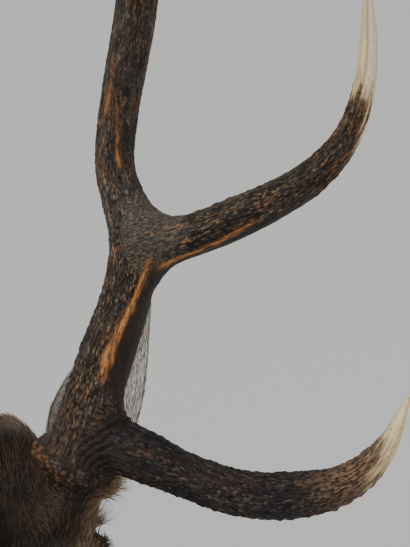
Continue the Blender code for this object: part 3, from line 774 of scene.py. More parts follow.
    # where the form is lifted off the branches, a bark of its own
    lifted = ds[:5].min(0) + 0.0016 * (fbm(p / 0.006, seed + 210, 2) - 0.5)
    crotch = smooth01(lifted, 0.0010, 0.0034) * smooth01(d, 0.001, 0.006)
    for i, k in ((1, "brow"), (2, "trez"), (3, "crown_outer"),
                 (4, "crown_rear")):
        t1 = unit(lines[k][min(4, len(lines[k]) - 1), :3] - lines[k][0, :3])
        t2 = unit(np.cross(t1, FACING * np.array([side, 1, 1])))
        t3 = np.cross(t1, t2)
        mine = crotch * smooth01(w[i] + w[0], 0.5, 0.8) * (
            np.linalg.norm(p - lines[k][0, :3], axis=1) < 0.11)
        own = 1000 * np.stack([p @ t1, p @ t2, p @ t3], 1) + 7.0 * i
        c1, c2, cw = cells(own / [5.6, 3.6, 3.6], seed + 220 + i)
        hump = np.clip(1 - (c1 / 0.62) ** 2, 0, 1) * (0.45 + 0.75 * cw)
        hf = (0.75 * hump + 0.5 * (noise(own / [18, 3.2, 3.2], seed + 230)
                                   - 0.5)) * 0.001
        h = h * (1 - mine) + hf * mine
        shared = np.maximum(shared, smooth01(mine, 0.1, 0.8))
        if k == "trez":
            upper_fork = mine
        if k != "brow":
            here = np.linalg.norm(p - lines[k][0, :3], axis=1) < 0.11
            own_frame = np.where(here[:, None], own, own_frame)
        if k == "brow":
            brow_fork = mine
    # folds that run round the foot of the brow tine; painted shade darkens them, most in their troughs
    J = centre + np.array([0.030 * side, -0.028, -0.004])
    r = np.linalg.norm(p - J, axis=1)
    rr = r + 0.006 * (fbm(p / 0.016, seed + 90, 2) - 0.5)
    near = np.clip(1.35 * np.sqrt(w[0] * w[1]) + 0.0, 0, 1)
    near = np.clip(near + brow_fork, 0, 1)
    fold_shade_zone = (smooth01(r, 0.012, 0.020) * (1 - smooth01(r, 0.042, 0.058))
            * smooth01((p - centre) @ ax, 0.004, 0.012))
    fold_shade_zone = fold_shade_zone * np.clip(0.25 + near, 0, 1) * (
        (p - J) @ unit(np.array([-0.2 * side, -0.8, 0.3])) > -0.010)
    wave = np.sin(rr / 0.0046 * 2 * np.pi)
    h = h * (1 - 0.6 * fold_shade_zone) + 0.00100 * wave * fold_shade_zone
    col = mix(col, np.array([0.026, 0.0195, 0.0155]), 0.62 * fold_shade_zone)
    col = col * (1 - 0.50 * fold_shade_zone * smooth01(-wave, 0.0, 0.9))[:, None]
    fine = fine * (1 - 0.35 * fold_shade_zone)
    # smoke-grey hollows of the upper fork
    fork = np.clip(np.maximum(4 * w[0] * w[2], upper_fork), 0, 1)
    fork = fork * (1 - np.clip(1.6 * np.maximum(shaded_smooth_face, wear), 0, 1))
    col = mix(col, np.array([0.150, 0.128, 0.104]), 0.55 * fork)
    fine = fine * (1 - 0.25 * fork)
    p = p + nrm * (h - 0.0004)[:, None]
    set_coords(me, p)
    paint(me, "Col", np.clip(col, 0, 1))
    scalar(me, "Fine", fine)
    # painted shade: the flecks are dimmed on the brow tine and in the folds at its foot; they are also
    # dimmed low on the beam above the burr
    gain = 1.0 - 0.55 * w[1] - 0.55 * np.maximum(fold_shade_zone, 0.3 * brow_fork)
    above_burr = 1 - smooth01((p - centre) @ ax, 0.030, 0.075)
    gain = gain * (1 - 0.45 * above_burr * w[0])
    col = col * (1 - 0.35 * above_burr * w[0] * (1 - fold_shade_zone))[:, None]
    # the brow tine's flecks are pinkish grey like painted highlights, the beam's golden
    out_on_brow = np.clip(w[1] + brow_fork, 0, 1)[:, None]
    fleck_highlight_hue = 1 + out_on_brow * (np.array([0.92, 1.02, 1.95]) - 1)
    paint(me, "FleckShadeHighlight", np.clip(gain, 0.2, 1)[:, None] * fleck_highlight_hue)
    scalar(me, "Wear", wear)
    scalar(me, "Smooth", np.clip(np.maximum(0.85 * pale, 0.6 * wear), 0, 1))
    for tag, data in (("Bark", frame2), ("Fork", own_frame)):
        at = me.attributes.new(name=tag, type="FLOAT_VECTOR", domain="POINT")
        at.data.foreach_set("vector", data.astype(np.float32).ravel())
    scalar(me, "Shared", shared)
    me.shade_smooth()
    ob.data.materials.append(antler_material())
    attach(ob, "root")
    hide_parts(*["antler_%s_%s" % (word, k) for k in
                      ("beam_lower", "beam_upper", "brow", "trez",
                       "crown_front", "crown_outer", "crown_rear")])
    print("antler", word, len(me.vertices), len(me.polygons))
    return ob


def antler_material():
    mat = bpy.data.materials.get("antler_surface")
    if mat:
        return mat
    mat, nt, bsdf = new_material("antler_surface")
    L = nt.links.new
    col = node(nt, "ShaderNodeAttribute", _attribute_name="Col")
    fine = node(nt, "ShaderNodeAttribute", _attribute_name="Fine")
    wear = node(nt, "ShaderNodeAttribute", _attribute_name="Wear")
    slick = node(nt, "ShaderNodeAttribute", _attribute_name="Smooth")
    share_at = node(nt, "ShaderNodeAttribute", _attribute_name="Shared")
    frames = [node(nt, "ShaderNodeAttribute", _attribute_name=tag)
              for tag in ("Bark", "Fork")]

    def pattern(kind, scale, out, **values):
        """A texture on the branch's own frame, blended at the forks with the
        same texture on the fork's frame."""
        mixed = node(nt, "ShaderNodeMix", _data_type="FLOAT")
        L(share_at.outputs["Fac"], mixed.inputs["Factor"])
        for i, at in enumerate(frames):
            m = node(nt, "ShaderNodeMapping")
            m.inputs["Scale"].default_value = scale
            L(at.outputs["Vector"], m.inputs["Vector"])
            tex = node(nt, kind, **values)
            L(m.outputs["Vector"], tex.inputs["Vector"])
            L(tex.outputs[out], mixed.inputs[2 + i])
        return mixed.outputs[0]

    def math_node(op, a, b=None, c=None):
        n = node(nt, "ShaderNodeMath", _operation=op)
        for i, v in enumerate((a, b, c)):
            if v is None:
                continue
            if hasattr(v, "is_output"):
                L(v, n.inputs[i])
            else:
                n.inputs[i].default_value = v
        return n.outputs[0]

    def blend_rgb(fac, a, b, kind="MIX"):
        n = node(nt, "ShaderNodeMix", _data_type="RGBA", _blend_type=kind)
        for sock, v in ((n.inputs["Factor"], fac), (n.inputs[6], a),
                        (n.inputs[7], b)):
            if hasattr(v, "is_output"):
                L(v, sock)
            elif isinstance(v, tuple):
                sock.default_value = (*v, 1)
            else:
                sock.default_value = v
        return n.outputs[2]

    # small beads: dark between, light on top
    bead = pattern("ShaderNodeTexVoronoi", (1 / 4.4, 1 / 2.1, 1 / 2.1),
                   "Distance", Scale=1.0, Randomness=0.9)
    fibre = pattern("ShaderNodeTexNoise", (1 / 9.5, 1 / 1.25, 1 / 1.25), "Fac",
                    Scale=1.0, Detail=2.5, Roughness=0.55, Distortion=0.5)
    grit = pattern("ShaderNodeTexNoise", (1 / 1.6, 1 / 0.9, 1 / 0.9), "Fac",
                   Scale=1.0, Detail=2.0, Roughness=0.6)
    top = math_node("MULTIPLY_ADD", bead, -1.30, 1.02)
    fib = math_node("MULTIPLY_ADD", fibre, 1.7, -0.85)
    pat = math_node("ADD", math_node("MULTIPLY", top, 0.62), fib)
    pat = math_node("ADD", pat, math_node("MULTIPLY_ADD", grit, 0.5, -0.25))
    hi = node(nt, "ShaderNodeMapRange", _interpolation_type="SMOOTHSTEP")
    hi.inputs["From Min"].default_value = 0.02
    hi.inputs["From Max"].default_value = 0.52
    L(pat, hi.inputs["Value"])
    # colour: nearly black grooves, ridge colour, tan flecks on the crests that are partly worn colour and
    # partly painted highlight
    groove_c = blend_rgb(1.0, col.outputs["Color"], (0.15, 0.125, 0.115),
                         "MULTIPLY")
    lively = blend_rgb(hi.outputs["Result"], groove_c, col.outputs["Color"])
    fleck = pattern("ShaderNodeTexNoise", (1 / 6.5, 1 / 1.7, 1 / 1.7), "Fac",
                    Scale=1.0, Detail=2.0, Roughness=0.5)
    where = pattern("ShaderNodeTexNoise", (1 / 42, 1 / 9, 1 / 9), "Fac",
                    Scale=1.0, Detail=2.0)
    fm = math_node("ADD", fleck, math_node("MULTIPLY_ADD", where, 0.55, -0.27))
    fr = node(nt, "ShaderNodeMapRange", _interpolation_type="SMOOTHSTEP")
    fr.inputs["From Min"].default_value = 0.555
    fr.inputs["From Max"].default_value = 0.665
    L(fm, fr.inputs["Value"])
    fcol = ramp(nt, [(0.35, (0.44, 0.285, 0.115)), (0.52, (0.35, 0.260, 0.140)),
                     (0.66, (0.42, 0.175, 0.055))], where)
    # dims and tints the flecks: painted shade and painted highlight colour
    fleck_shade_tint = node(nt, "ShaderNodeAttribute", _attribute_name="FleckShadeHighlight")
    ftint = node(nt, "ShaderNodeMix", _data_type="RGBA", _blend_type="MULTIPLY")
    ftint.inputs["Factor"].default_value = 1.0
    L(fcol.outputs["Color"], ftint.inputs[6])
    L(fleck_shade_tint.outputs["Color"], ftint.inputs[7])
    fleck_highlight_amount = math_node("MULTIPLY", math_node("MULTIPLY", fr.outputs["Result"],
                                           hi.outputs["Result"]), 0.72)
    lively = blend_rgb(fleck_highlight_amount, lively, ftint.outputs[2])
    # worn ridges keep fibres, ivory keeps only a faint grain
    wf = ramp(nt, [(0.36, (0.30, 0.22, 0.17)), (0.50, (0.95, 0.9, 0.85)),
                   (0.66, (1.25, 1.22, 1.15))], fibre)
    worn = blend_rgb(1.0, col.outputs["Color"], wf.outputs["Color"], "MULTIPLY")
    grain = ramp(nt, [(0.3, (0.80, 0.77, 0.72)), (0.6, (1.06, 1.05, 1.04))],
                 fibre)
    plain = blend_rgb(1.0, col.outputs["Color"], grain.outputs["Color"],
                      "MULTIPLY")
    plain = blend_rgb(wear.outputs["Fac"], plain, worn)
    final = blend_rgb(fine.outputs["Fac"], plain, lively)
    L(final, bsdf.inputs["Base Color"])
    rr = node(nt, "ShaderNodeMapRange")
    rr.inputs["To Min"].default_value = 0.60
    rr.inputs["To Max"].default_value = 0.36
    L(slick.outputs["Fac"], rr.inputs["Value"])
    L(rr.outputs["Result"], bsdf.inputs["Roughness"])
    amount = math_node("MULTIPLY_ADD", fine.outputs["Fac"], 0.86, 0.14)
    height = math_node("MULTIPLY", pat, amount)
    bump = node(nt, "ShaderNodeBump", Strength=0.9, Distance=0.0011)
    L(height, bump.inputs["Height"])
    L(bump.outputs["Normal"], bsdf.inputs["Normal"])
    bsdf.inputs["Specular IOR Level"].default_value = 0.27
    return mat


# ------------------------------------------------------------------ flesh
HEAD_SECTIONS = (                   # cm: F, top, bottom, roof, max, at, cheek, jaw
    (34.0, -4.9, -7.9, 1.3, 2.2, -6.2, 1.8, 0.9),
    (33.0, -4.1, -9.4, 2.1, 3.2, -6.6, 2.9, 1.6),
    (30.5, -3.4, -10.8, 2.3, 3.8, -7.0, 3.5, 2.3),
    (25.0, -2.9, -11.0, 2.1, 3.9, -7.2, 3.5, 2.1),
    (19.5, -2.6, -12.0, 2.3, 4.4, -7.4, 4.0, 2.2),
    (14.5, -2.7, -14.2, 3.0, 5.6, -7.0, 5.0, 2.7),
    (11.0, -2.6, -16.2, 4.1, 7.0, -6.2, 6.1, 3.2),
    (7.5, -2.3, -18.0, 4.9, 7.7, -5.4, 6.8, 3.7),
    (3.5, -1.8, -19.4, 4.7, 7.2, -6.4, 6.9, 4.2),
    (-1.0, -2.1, -19.4, 4.0, 6.9, -7.8, 6.7, 4.5),
    (-5.0, -4.2, -18.0, 3.4, 6.6, -9.4, 6.2, 4.2),
    (-8.0, -7.0, -16.0, 2.6, 5.4, -11.0, 5.0, 3.2),
    (-9.6, -9.0, -13.0, 1.3, 2.6, -11.0, 2.4, 1.2),
)
PEDICLE_RADIUS = 0.0275
EYE_RADIUS = 0.0175
EYE_PLACE = (0.0640, 0.078, -0.056)
NECK_SECTIONS = (
    ((-0.290, 0.612), (-0.315, 0.455), 0.050),
    ((-0.240, 0.594), (-0.283, 0.412), 0.072),
    ((-0.188, 0.545), (-0.292, 0.355), 0.088),
    ((-0.134, 0.478), (-0.306, 0.275), 0.104),
    ((-0.088, 0.405), (-0.314, 0.175), 0.123),
    ((-0.058, 0.345), (-0.296, 0.055), 0.143),
    ((-0.040, 0.304), (-0.232, -0.080), 0.160),
    ((-0.030, 0.280), (-0.128, -0.195), 0.170),
    ((-0.0223, 0.268), (-0.0223, -0.258), 0.174),
)
NECK_EGG = 0.10


def head_point(x, f, d):
    return O + AX * x + AF * f + AD * d


def to_head(p):
    rel = np.asarray(p, float) - O
    return rel @ AX, rel @ AF, rel @ AD


def head_ring(row, count):
    f, top, low, roof, wide, at, cheek, jaw = [v / 100 for v in row]
    span = top - low
    half_line = [(0.0, top), (roof, top - 0.045 * span), (wide, at),
                 (cheek, (at + low) / 2), (jaw, low + 0.055 * span), (0.0, low)]
    loop = half_line + [(-x, d) for x, d in half_line[-2:0:-1]]
    n = len(loop)
    pts = []
    for k in range(count):
        u = k * n / count
        i = int(u)
        t = u - i
        a, b, c, d = (np.array(loop[(i + j - 1) % n]) for j in range(4))
        w = (-0.5 * t + t * t - 0.5 * t ** 3, 1 - 2.5 * t * t + 1.5 * t ** 3,
             0.5 * t + 2 * t * t - 1.5 * t ** 3, -0.5 * t * t + 0.5 * t ** 3)
        x, dd = w[0] * a + w[1] * b + w[2] * c + w[3] * d
        pts.append(head_point(x, f, dd))
    return np.array(pts)


def neck_ring(row, count):
    ty, tz, by, bz, w = row
    mid = np.array((0, (ty + by) / 2, (tz + bz) / 2))
    up = np.array((0, (ty - by) / 2, (tz - bz) / 2))
    a = np.linspace(0, 2 * np.pi, count, endpoint=False)
    s, c = np.sin(a), np.cos(a)
    sx = np.sign(c) * np.abs(c) ** 0.90 * (1 - NECK_EGG * s)
    su = np.sign(s) * np.abs(s) ** 0.90
    return mid + su[:, None] * up + (w * sx)[:, None] * AX


def rings_shell(rings):
    n, m = len(rings), len(rings[0])
    verts = np.vstack(list(rings) + [rings[0].mean(0)[None], rings[-1].mean(0)[None]])
    faces = []
    for i in range(n - 1):
        for k in range(m):
            j = (k + 1) % m
            faces.append((i * m + k, i * m + j, (i + 1) * m + j, (i + 1) * m + k))
    for k in range(m):
        j = (k + 1) % m
        faces.append((n * m, j, k, k))
        faces.append((n * m + 1, (n - 1) * m + k, (n - 1) * m + j,
                      (n - 1) * m + j))
    return verts, faces


def ellipsoid(centre, axes, radii, m=24):
    th = np.linspace(0.08, np.pi - 0.08, m)
    ph = np.linspace(0, 2 * np.pi, 2 * m, endpoint=False)
    rings = []
    for t in th:
        rings.append(centre + radii[0] * np.cos(t) * axes[0]
                     + np.sin(t) * (radii[1] * np.cos(ph)[:, None] * axes[1]
                                    + radii[2] * np.sin(ph)[:, None] * axes[2]))
    return rings_shell(rings)


# eye frames
def eye_frame(side):
    c = head_point(side * EYE_PLACE[0], EYE_PLACE[1], EYE_PLACE[2])
    out = unit(AX * side * 0.94 + AF * 0.25 + AD * 0.17)
    u = AF * 0.965 - AD * 0.26
    u = unit(u - out * (u @ out))
    v = np.cross(u, out) * (1 if side < 0 else -1)
    if v @ AD < 0:
        v = -v
    return c, out, u, v


def coat_depth(p, n):
    """How deep the skin lies under the outline of the coat."""
    x, f, d = to_head(p)
    ax = np.abs(x)
    face = 0.0032 + 0 * f
    head = 0.0066
    w = 1 - smooth01(f, 0.060, 0.150)
    depth = face * (1 - w) + head * w
    depth = depth * (1 - 0.75 * smooth01(f, 0.285, 0.315)
                     * smooth01(d, -0.23, -0.20))
    nearboard = p[:, 1]
    grown = mane_share(p)
    neck = 0.0080 + (0.0050 + 0.0055 * smooth01(
        -nearboard, -0.26, -0.10)) * grown
    wn = 1 - head_share(p)
    depth = depth * (1 - wn) + neck * wn
    top = (1 - smooth01(ax, 0.034, 0.054)) * (1 - smooth01(f, -0.010, 0.040)) \
        * smooth01(f, -0.110, -0.070) * smooth01(d, -0.13, -0.09)
    low = (1 - smooth01(ax, 0.022, 0.042)) * (1 - smooth01(f, -0.010, 0.040)) \
        * smooth01(f, -0.100, -0.060) * smooth01(d, -0.12, -0.08)
    depth = depth + 0.0110 * top + 0.0060 * low
    # slim over the pedicles
    for s in (1, -1):
        c = O + AX * BURR_X * s
        r = np.linalg.norm(p - c, axis=1)
        depth = depth * (1 - 0.45 * (1 - smooth01(r, 0.03, 0.06)))
    keep = smooth01(n[:, 1], 0.55, 0.9) * smooth01(p[:, 1], -0.05, -0.03)
    return depth * (1 - keep)


def line_distance(q, pts):
    """Distance of points q to a polyline and the share along it."""
    pts = np.asarray(pts, float)
    seg = pts[1:] - pts[:-1]
    ln = np.linalg.norm(seg, axis=1)
    cum = np.concatenate([[0], np.cumsum(ln)])
    rel = q[:, None, :] - pts[None, :-1]
    t = np.clip((rel * seg[None]).sum(2) / (ln ** 2)[None], 0, 1)
    d = np.linalg.norm(rel - t[..., None] * seg[None], axis=2)
    k = d.argmin(1)
    row = np.arange(len(q))
    return d[row, k], (cum[k] + t[row, k] * ln[k]) / cum[-1]


def gauss(x, s):
    return np.exp(-(x / s) ** 2)


NOSTRIL = ((0.0125, 0.3405, -0.0675), (0.0200, 0.3365, -0.0610),
           (0.0262, 0.3300, -0.0560), (0.0300, 0.3225, -0.0545),
           (0.0320, 0.3165, -0.0575))
TEAR = ((0.0700, 0.1010, -0.0640), (0.0650, 0.1130, -0.0672),
        (0.0600, 0.1300, -0.0715), (0.0575, 0.1420, -0.0740))
CREST = ((0.074, 0.045, -0.088), (0.068, 0.090, -0.086), (0.055, 0.140, -0.080),
         (0.046, 0.185, -0.078))


def mouth_d(f):
    return -0.0885 - 0.06 * (f - 0.300) + 0.0020 * np.sin((f - 0.23) * 60)


def sculpt(p, n):
    """Folds of the face: nostrils, lips, tear ducts, cheek lines."""
    x, f, d = to_head(p)
    ax = np.abs(x)
    q = np.stack([ax, f, d], 1)
    h = np.zeros(len(p))
    # cheek crest, jaw muscle, dish before the eyes
    dist, t = line_distance(q, CREST)
    h += 0.0022 * gauss(dist, 0.011)
    h += 0.0025 * gauss(np.linalg.norm(q - [0.066, 0.035, -0.125], axis=1), 0.034)
    h -= 0.0026 * gauss(np.linalg.norm((q - [0.058, 0.135, -0.055])
                                       * [1, 0.6, 1], axis=1), 0.016)
    h -= 0.0018 * gauss(np.linalg.norm((q - [0.0, 0.075, -0.024])
                                       * [1, 0.6, 1], axis=1), 0.022)
    h -= 0.0022 * gauss(np.linalg.norm((q - [0.045, 0.215, -0.095])
                                       * [1, 0.45, 1], axis=1), 0.016)
    # veins and slack of the cheek
    h += 0.0011 * (fbm(q / 0.021, 311, 3) - 0.5) * smooth01(f, 0.02, 0.08)
    # tear duct
    dist, t = line_distance(q, TEAR)
    wide = 0.0030 + 0.0016 * np.sin(np.pi * t)
    h -= 0.0062 * gauss(dist, wide) * np.sin(np.pi * np.clip(t, 0.06, 0.94))
    h += 0.0016 * gauss(dist - wide * 1.9, 0.0026)
    # mouth
    front = smooth01(f, 0.222, 0.240)
    gap = d - mouth_d(f)
    h += front * 0.0018 * gauss(gap - 0.0068, 0.0050)
    h -= front * 0.0056 * gauss(gap, 0.0016)
    front = front * smooth01(d, -0.2, -0.17)
    h -= front * 0.0030 * smooth01(-gap, -0.001, 0.0015) * (
        1 - smooth01(-gap, 0.006, 0.020)) * smooth01(f, 0.25, 0.32)
    h -= 0.0030 * gauss(np.linalg.norm(
        (q - [0.041, 0.226, -0.0845]) * [1, 0.8, 1], axis=1), 0.0045)
    # chin
    h += 0.0020 * gauss(np.linalg.norm(
        (q - [0.0, 0.312, -0.105]) * [1, 1, 1], axis=1), 0.013)
    # nose pad: raised edge, philtrum, nostrils
    h -= 0.0022 * gauss(ax, 0.0013) * smooth01(f, 0.325, 0.336) * (
        1 - smooth01(d, -0.066, -0.058)) * smooth01(d, -0.092, -0.088)
    dist, t = line_distance(q, NOSTRIL)
    wide = 0.0050 * (1 - t) ** 0.7 + 0.0016
    h -= 0.0115 * (1 - smooth01(dist, wide * 0.25, wide * 1.05)) * smooth01(
        1 - t, 0.0, 0.12)
    h += 0.0019 * gauss(dist - wide * 1.55, 0.0026)
    h -= 0.0010 * gauss(dist - wide * 3.2, 0.0020)
    return h


def bare(p):
    """1 on the hairless nose pad and inside nostrils and lips."""
    x, f, d = to_head(p)
    ax = np.abs(x)
    top = smooth01(f + 0.10 * (d + 0.045) - 0.30 * np.clip(ax - 0.018, 0, 1),
                   0.3205, 0.3245)
    sideb = smooth01(f - 0.45 * np.clip(-0.066 - d, 0, 1) - 0.9 * np.clip(
        ax - 0.0265, 0, 1) * smooth01(-d, 0.062, 0.075), 0.3200, 0.3245)
    pad = np.minimum(top, sideb) * smooth01(d, mouth_d(f) - 0.000,
                                            mouth_d(f) + 0.003)
    lip = gauss(d - mouth_d(f), 0.0030) * smooth01(f, 0.225, 0.240)
    dist, t = line_distance(np.stack([ax, f, d], 1), TEAR)
    duct = gauss(dist, 0.0042)
    return np.clip(np.maximum(np.maximum(pad, lip), duct), 0, 1)


def markings(p):
    """Colour of skin and coat at a place: base and hair tip."""
    x, f, d = to_head(p)
    ax = np.abs(x)
    n = len(p)
    z = p[:, 2]
    y = p[:, 1]
    w = lambda v, t: np.clip(v, 0, 1)[:, None] * 1.0
    warp = (fbm(p / 0.022, 41, 2) - 0.5)
    fw = f + 0.020 * warp
    dw = d + 0.014 * (fbm(p / 0.018, 47, 2) - 0.5)
    col = np.tile(np.array([0.098, 0.066, 0.045]), (n, 1))      # neck sides
    tip = np.tile(np.array([0.235, 0.165, 0.108]), (n, 1))

    def lay(weight, base, end):
        nonlocal col, tip
        t = np.clip(weight, 0, 1)
        col = mix(col, np.array(base), t)
        tip = mix(tip, np.array(end), t)

    # throat and chest mane, nape line
    throat = smooth01(-y - 0.30 * np.abs(x) + 0.30 * (0.30 - np.clip(z, 0, .45)),
                      0.215, 0.30) * (1 - smooth01(z, 0.44, 0.50))
    lay(0.9 * throat, (0.034, 0.024, 0.018), (0.115, 0.080, 0.054))
    lay(0.55 * (1 - smooth01(z, -0.15, 0.10)), (0.060, 0.042, 0.031),
        (0.150, 0.108, 0.075))
    nape = (1 - smooth01(ax, 0.012, 0.045)) * smooth01(z + 1.2 * y, 0.19, 0.30)
    lay(0.7 * nape * (1 - smooth01(f, -0.08, -0.03)), (0.045, 0.028, 0.019),
        (0.120, 0.075, 0.045))
    # head
    head = smooth01(dw, -0.225, -0.180) * smooth01(fw, -0.085, -0.030)
    lay(head, (0.098, 0.070, 0.050), (0.215, 0.158, 0.110))
    cheek = head * smooth01(ax, 0.030, 0.055) * smooth01(-dw, 0.075, 0.100)
    lay(0.8 * cheek, (0.160, 0.120, 0.087), (0.340, 0.262, 0.190))
    fore = np.clip(smooth01(dw, -0.078, -0.050) * smooth01(fw, -0.09, -0.05)
                   * (1 - smooth01(fw, 0.095, 0.160)), 0, 1)
    lay(fore, (0.034, 0.0235, 0.0175), (0.105, 0.068, 0.045))
    brow = gauss(np.linalg.norm((np.stack([ax, fw, dw], 1)
                                 - [0.074, 0.048, -0.042]) * [1, 0.45, 1],
                                axis=1), 0.024)
    lay(0.95 * brow, (0.120, 0.074, 0.042), (0.46, 0.29, 0.155))
    # golden hair on the sides below the burrs: partly its own colour, partly painted light on strands lit
    # from the side
    wide = ax + 0.022 * smooth01(fw, 0.015, 0.055)
    golden_lit_flank = smooth01(wide, 0.064, 0.080) * smooth01(fw, -0.008, 0.020) * (
        1 - smooth01(fw, 0.080, 0.105)) * smooth01(dw, -0.080, -0.055)
    lay(0.95 * golden_lit_flank, (0.185, 0.118, 0.066), (0.82, 0.54, 0.30))
    crown = smooth01(dw, -0.070, -0.03) * (1 - smooth01(fw, -0.022, 0.010)) * \
        smooth01(fw, -0.11, -0.08)
    lay(0.75 * crown, (0.046, 0.024, 0.014), (0.135, 0.066, 0.032))
    bridge = smooth01(fw, 0.090, 0.140) * (1 - smooth01(ax, 0.014, 0.034)) * \
        smooth01(dw, -0.062, -0.042)
    lay(0.90 * bridge, (0.042, 0.027, 0.019), (0.105, 0.068, 0.044))
    # eye ring
    for s in (1, -1):
        c, out, u, v = eye_frame(s)
        rel = p - c
        a, b = rel @ u, rel @ v
        rr = np.hypot(a * 0.80, b)
        near = (rel @ out > -0.012)
        ring = gauss(rr - 0.0225, 0.0055) * near
        lay(0.62 * ring, (0.200, 0.148, 0.105), (0.36, 0.28, 0.20))
        lay(0.9 * gauss(rr - 0.0150, 0.0040) * near, (0.020, 0.014, 0.011),
            (0.035, 0.024, 0.018))
        dist, t = line_distance(np.stack([ax, f, d], 1), TEAR)
    lay(0.75 * gauss(dist, 0.0065) * smooth01(ax, 0.03, 0.05),
        (0.028, 0.019, 0.014), (0.05, 0.035, 0.026))
    # muzzle
    muzzle = smooth01(fw, 0.262, 0.300) * head
    lay(0.75 * muzzle * smooth01(-dw, 0.048, 0.062) * (1 - smooth01(
        -dw, 0.080, 0.090)), (0.20, 0.160, 0.122), (0.36, 0.30, 0.235))
    lay(0.85 * head * smooth01(fw, 0.300, 0.322) * (1 - smooth01(-dw, 0.05, 0.07)),
        (0.060, 0.043, 0.033), (0.105, 0.080, 0.06))
    under = head * smooth01(-(dw - mouth_d(f)), 0.001, 0.008) * smooth01(
        fw, 0.19, 0.25)
    lay(0.9 * under, (0.330, 0.285, 0.225), (0.56, 0.50, 0.42))
    lay(0.55 * head * smooth01(-dw, 0.098, 0.112) * smooth01(
        fw, 0.03, 0.12) * (1 - under), (0.20, 0.160, 0.120), (0.36, 0.29, 0.22))
    spot = gauss(np.linalg.norm((np.stack([ax, f, d], 1)
                                 - [0.034, 0.283, -0.0985]) * [0.6, 0.62, 1],
                                axis=1), 0.0085)
    lay(0.95 * spot, (0.020, 0.015, 0.012), (0.035, 0.026, 0.02))
    pad = bare(p)
    lay(pad, (0.0125, 0.0105, 0.0098), (0.0125, 0.0105, 0.0098))
    # patchy light and dark over the whole coat
    m = 0.80 + 0.42 * fbm(p / 0.033, 61, 3)[:, None]
    return np.clip(col * m, 0, 1), np.clip(tip * m, 0, 1)


def head_share(p):
    """1 on the head, 0 on the neck."""
    x, f, d = to_head(p)
    return smooth01(d, -0.250, -0.185) * smooth01(f, -0.125, -0.040)


def mane_share(p):
    """How far the coat has grown to its full length down the neck."""
    x, f, d = to_head(p)
    front = smooth01(-d, 0.195, 0.330)
    hind = smooth01(-f, 0.060, 0.190)
    return np.clip(np.maximum(front, hind), 0, 1)


# spine for the unwrap
def spine_lines():
    mids = [((t[0] + b[0]) / 2, (t[1] + b[1]) / 2) for t, b, w in NECK_SECTIONS]
    pts = [(0.0, y, z) for y, z in mids[::-1]]
    for row in HEAD_SECTIONS[::-1]:
        f, top, low = row[0] / 100, row[1] / 100, row[2] / 100
        if f > -0.03:
            pts.append(tuple(head_point(0, f, (top + low) / 2)))
    return resample(spline(pts, 10), 0.006)


SPINE = spine_lines()
SPINE_T = unit(np.gradient(SPINE, axis=0))


def unwrap(p):
    """Place on a cylinder wrapped along the spine: u round it, v along it."""
    out = np.empty((len(p), 2))
    for lo in range(0, len(p), 20000):
        q = p[lo:lo + 20000]
        yz = q[:, None, 1:] - SPINE[None, :, 1:]
        k = (yz ** 2).sum(2).argmin(1)
        t = SPINE_T[k]
        rel = q - SPINE[k]
        up = np.stack([np.zeros(len(q)), -t[:, 2], t[:, 1]], 1)
        ang = np.arctan2(rel[:, 0], (rel * up).sum(1))
        fine = k + (rel * t).sum(1) / 0.006
        out[lo:lo + 20000, 0] = 0.5 + 0.47 * ang / np.pi
        out[lo:lo + 20000, 1] = 0.03 + 0.94 * np.clip(fine / len(SPINE), 0, 1)
    return out


def lie_of_coat(p, n, wild):
    """Which way the hair points on the skin."""
    x, f, d = to_head(p)
    ax = np.abs(x)
    sgn = np.sign(x + 1e-9)
    back = -AF[None] + 0 * p
    side = AX[None] * sgn[:, None]
    down = -AD[None] + 0 * p
    v = back + 0.30 * down * smooth01(ax, 0.02, 0.06)[:, None]
    # fans out sideways below the burrs and round them
    for s in (1, -1):
        c = O + AX * BURR_X * s
        rel = p - c
        rel_t = rel - n * (rel * n).sum(1)[:, None]
        r = np.linalg.norm(rel_t, axis=1)
        lat = smooth01(x * s, 0.030, 0.075) * 2 - 0.55
        w = gauss(np.linalg.norm(rel, axis=1), 0.058)
        v = v + (AX[None] * s * lat[:, None]) * (1.15 * w)[:, None]
    # standing tuft between the antlers
    crown = (1 - smooth01(ax, 0.022, 0.045)) * (1 - smooth01(f, 0.000, 0.035)) \
        * smooth01(f, -0.075, -0.045)
    v = v + np.array([0, 0.10, 0.35])[None] * crown[:, None]
    # round the outer side of the pedicles the hair stands up to the burr
    ped = smooth01(ax, 0.058, 0.074) * smooth01(f, -0.030, 0.0) \
        * (1 - smooth01(f, 0.050, 0.070)) * smooth01(d, -0.070, -0.044)
    v = v * (1 - ped)[:, None] + (0.7 * AD[None] + 0.9 * side
                                  + 0.35 * AF[None]) * ped[:, None]
    # neck: down along it, and with gravity on the throat
    corner = smooth01(-n[:, 1], 0.05, 0.45) * smooth01(-d, 0.145, 0.170) * (
        1 - smooth01(f, 0.110, 0.135))
    wn = (1 - head_share(p) * (1 - corner))[:, None]
    along = np.tile(np.array([0.0, 0.42, -0.90]), (len(p), 1))
    throat = smooth01(-n[:, 1], 0.2, 0.7)[:, None]
    along = along + throat * np.array([0.0, -0.20, -0.5])
    chest = (1 - smooth01(p[:, 2], 0.02, 0.22))[:, None]
    along = along + chest * np.array([0.0, -0.15, -0.35])
    v = v * (1 - wn) + along * wn
    # ring of hair round the eye
    for s in (1, -1):
        c, out, u, vv = eye_frame(s)
        rel = p - c
        a, b = rel @ u, rel @ vv
        rr = np.hypot(a, b)
        w = gauss(rr, 0.026) * (rel @ out > 0)
        radial = unit(a[:, None] * u + b[:, None] * vv)
        v = v + 0.55 * w[:, None] * radial
    sw = fbm(p / 0.045, 71, 2) - 0.5
    sw2 = fbm(p / 0.012, 73, 2) - 0.5
    cross = np.cross(n, unit(v))
    v = unit(v) + cross * (wild * (1.5 * sw + 1.3 * sw2))[:, None]
    v = v - n * (v * n).sum(1)[:, None]
    return unit(v)


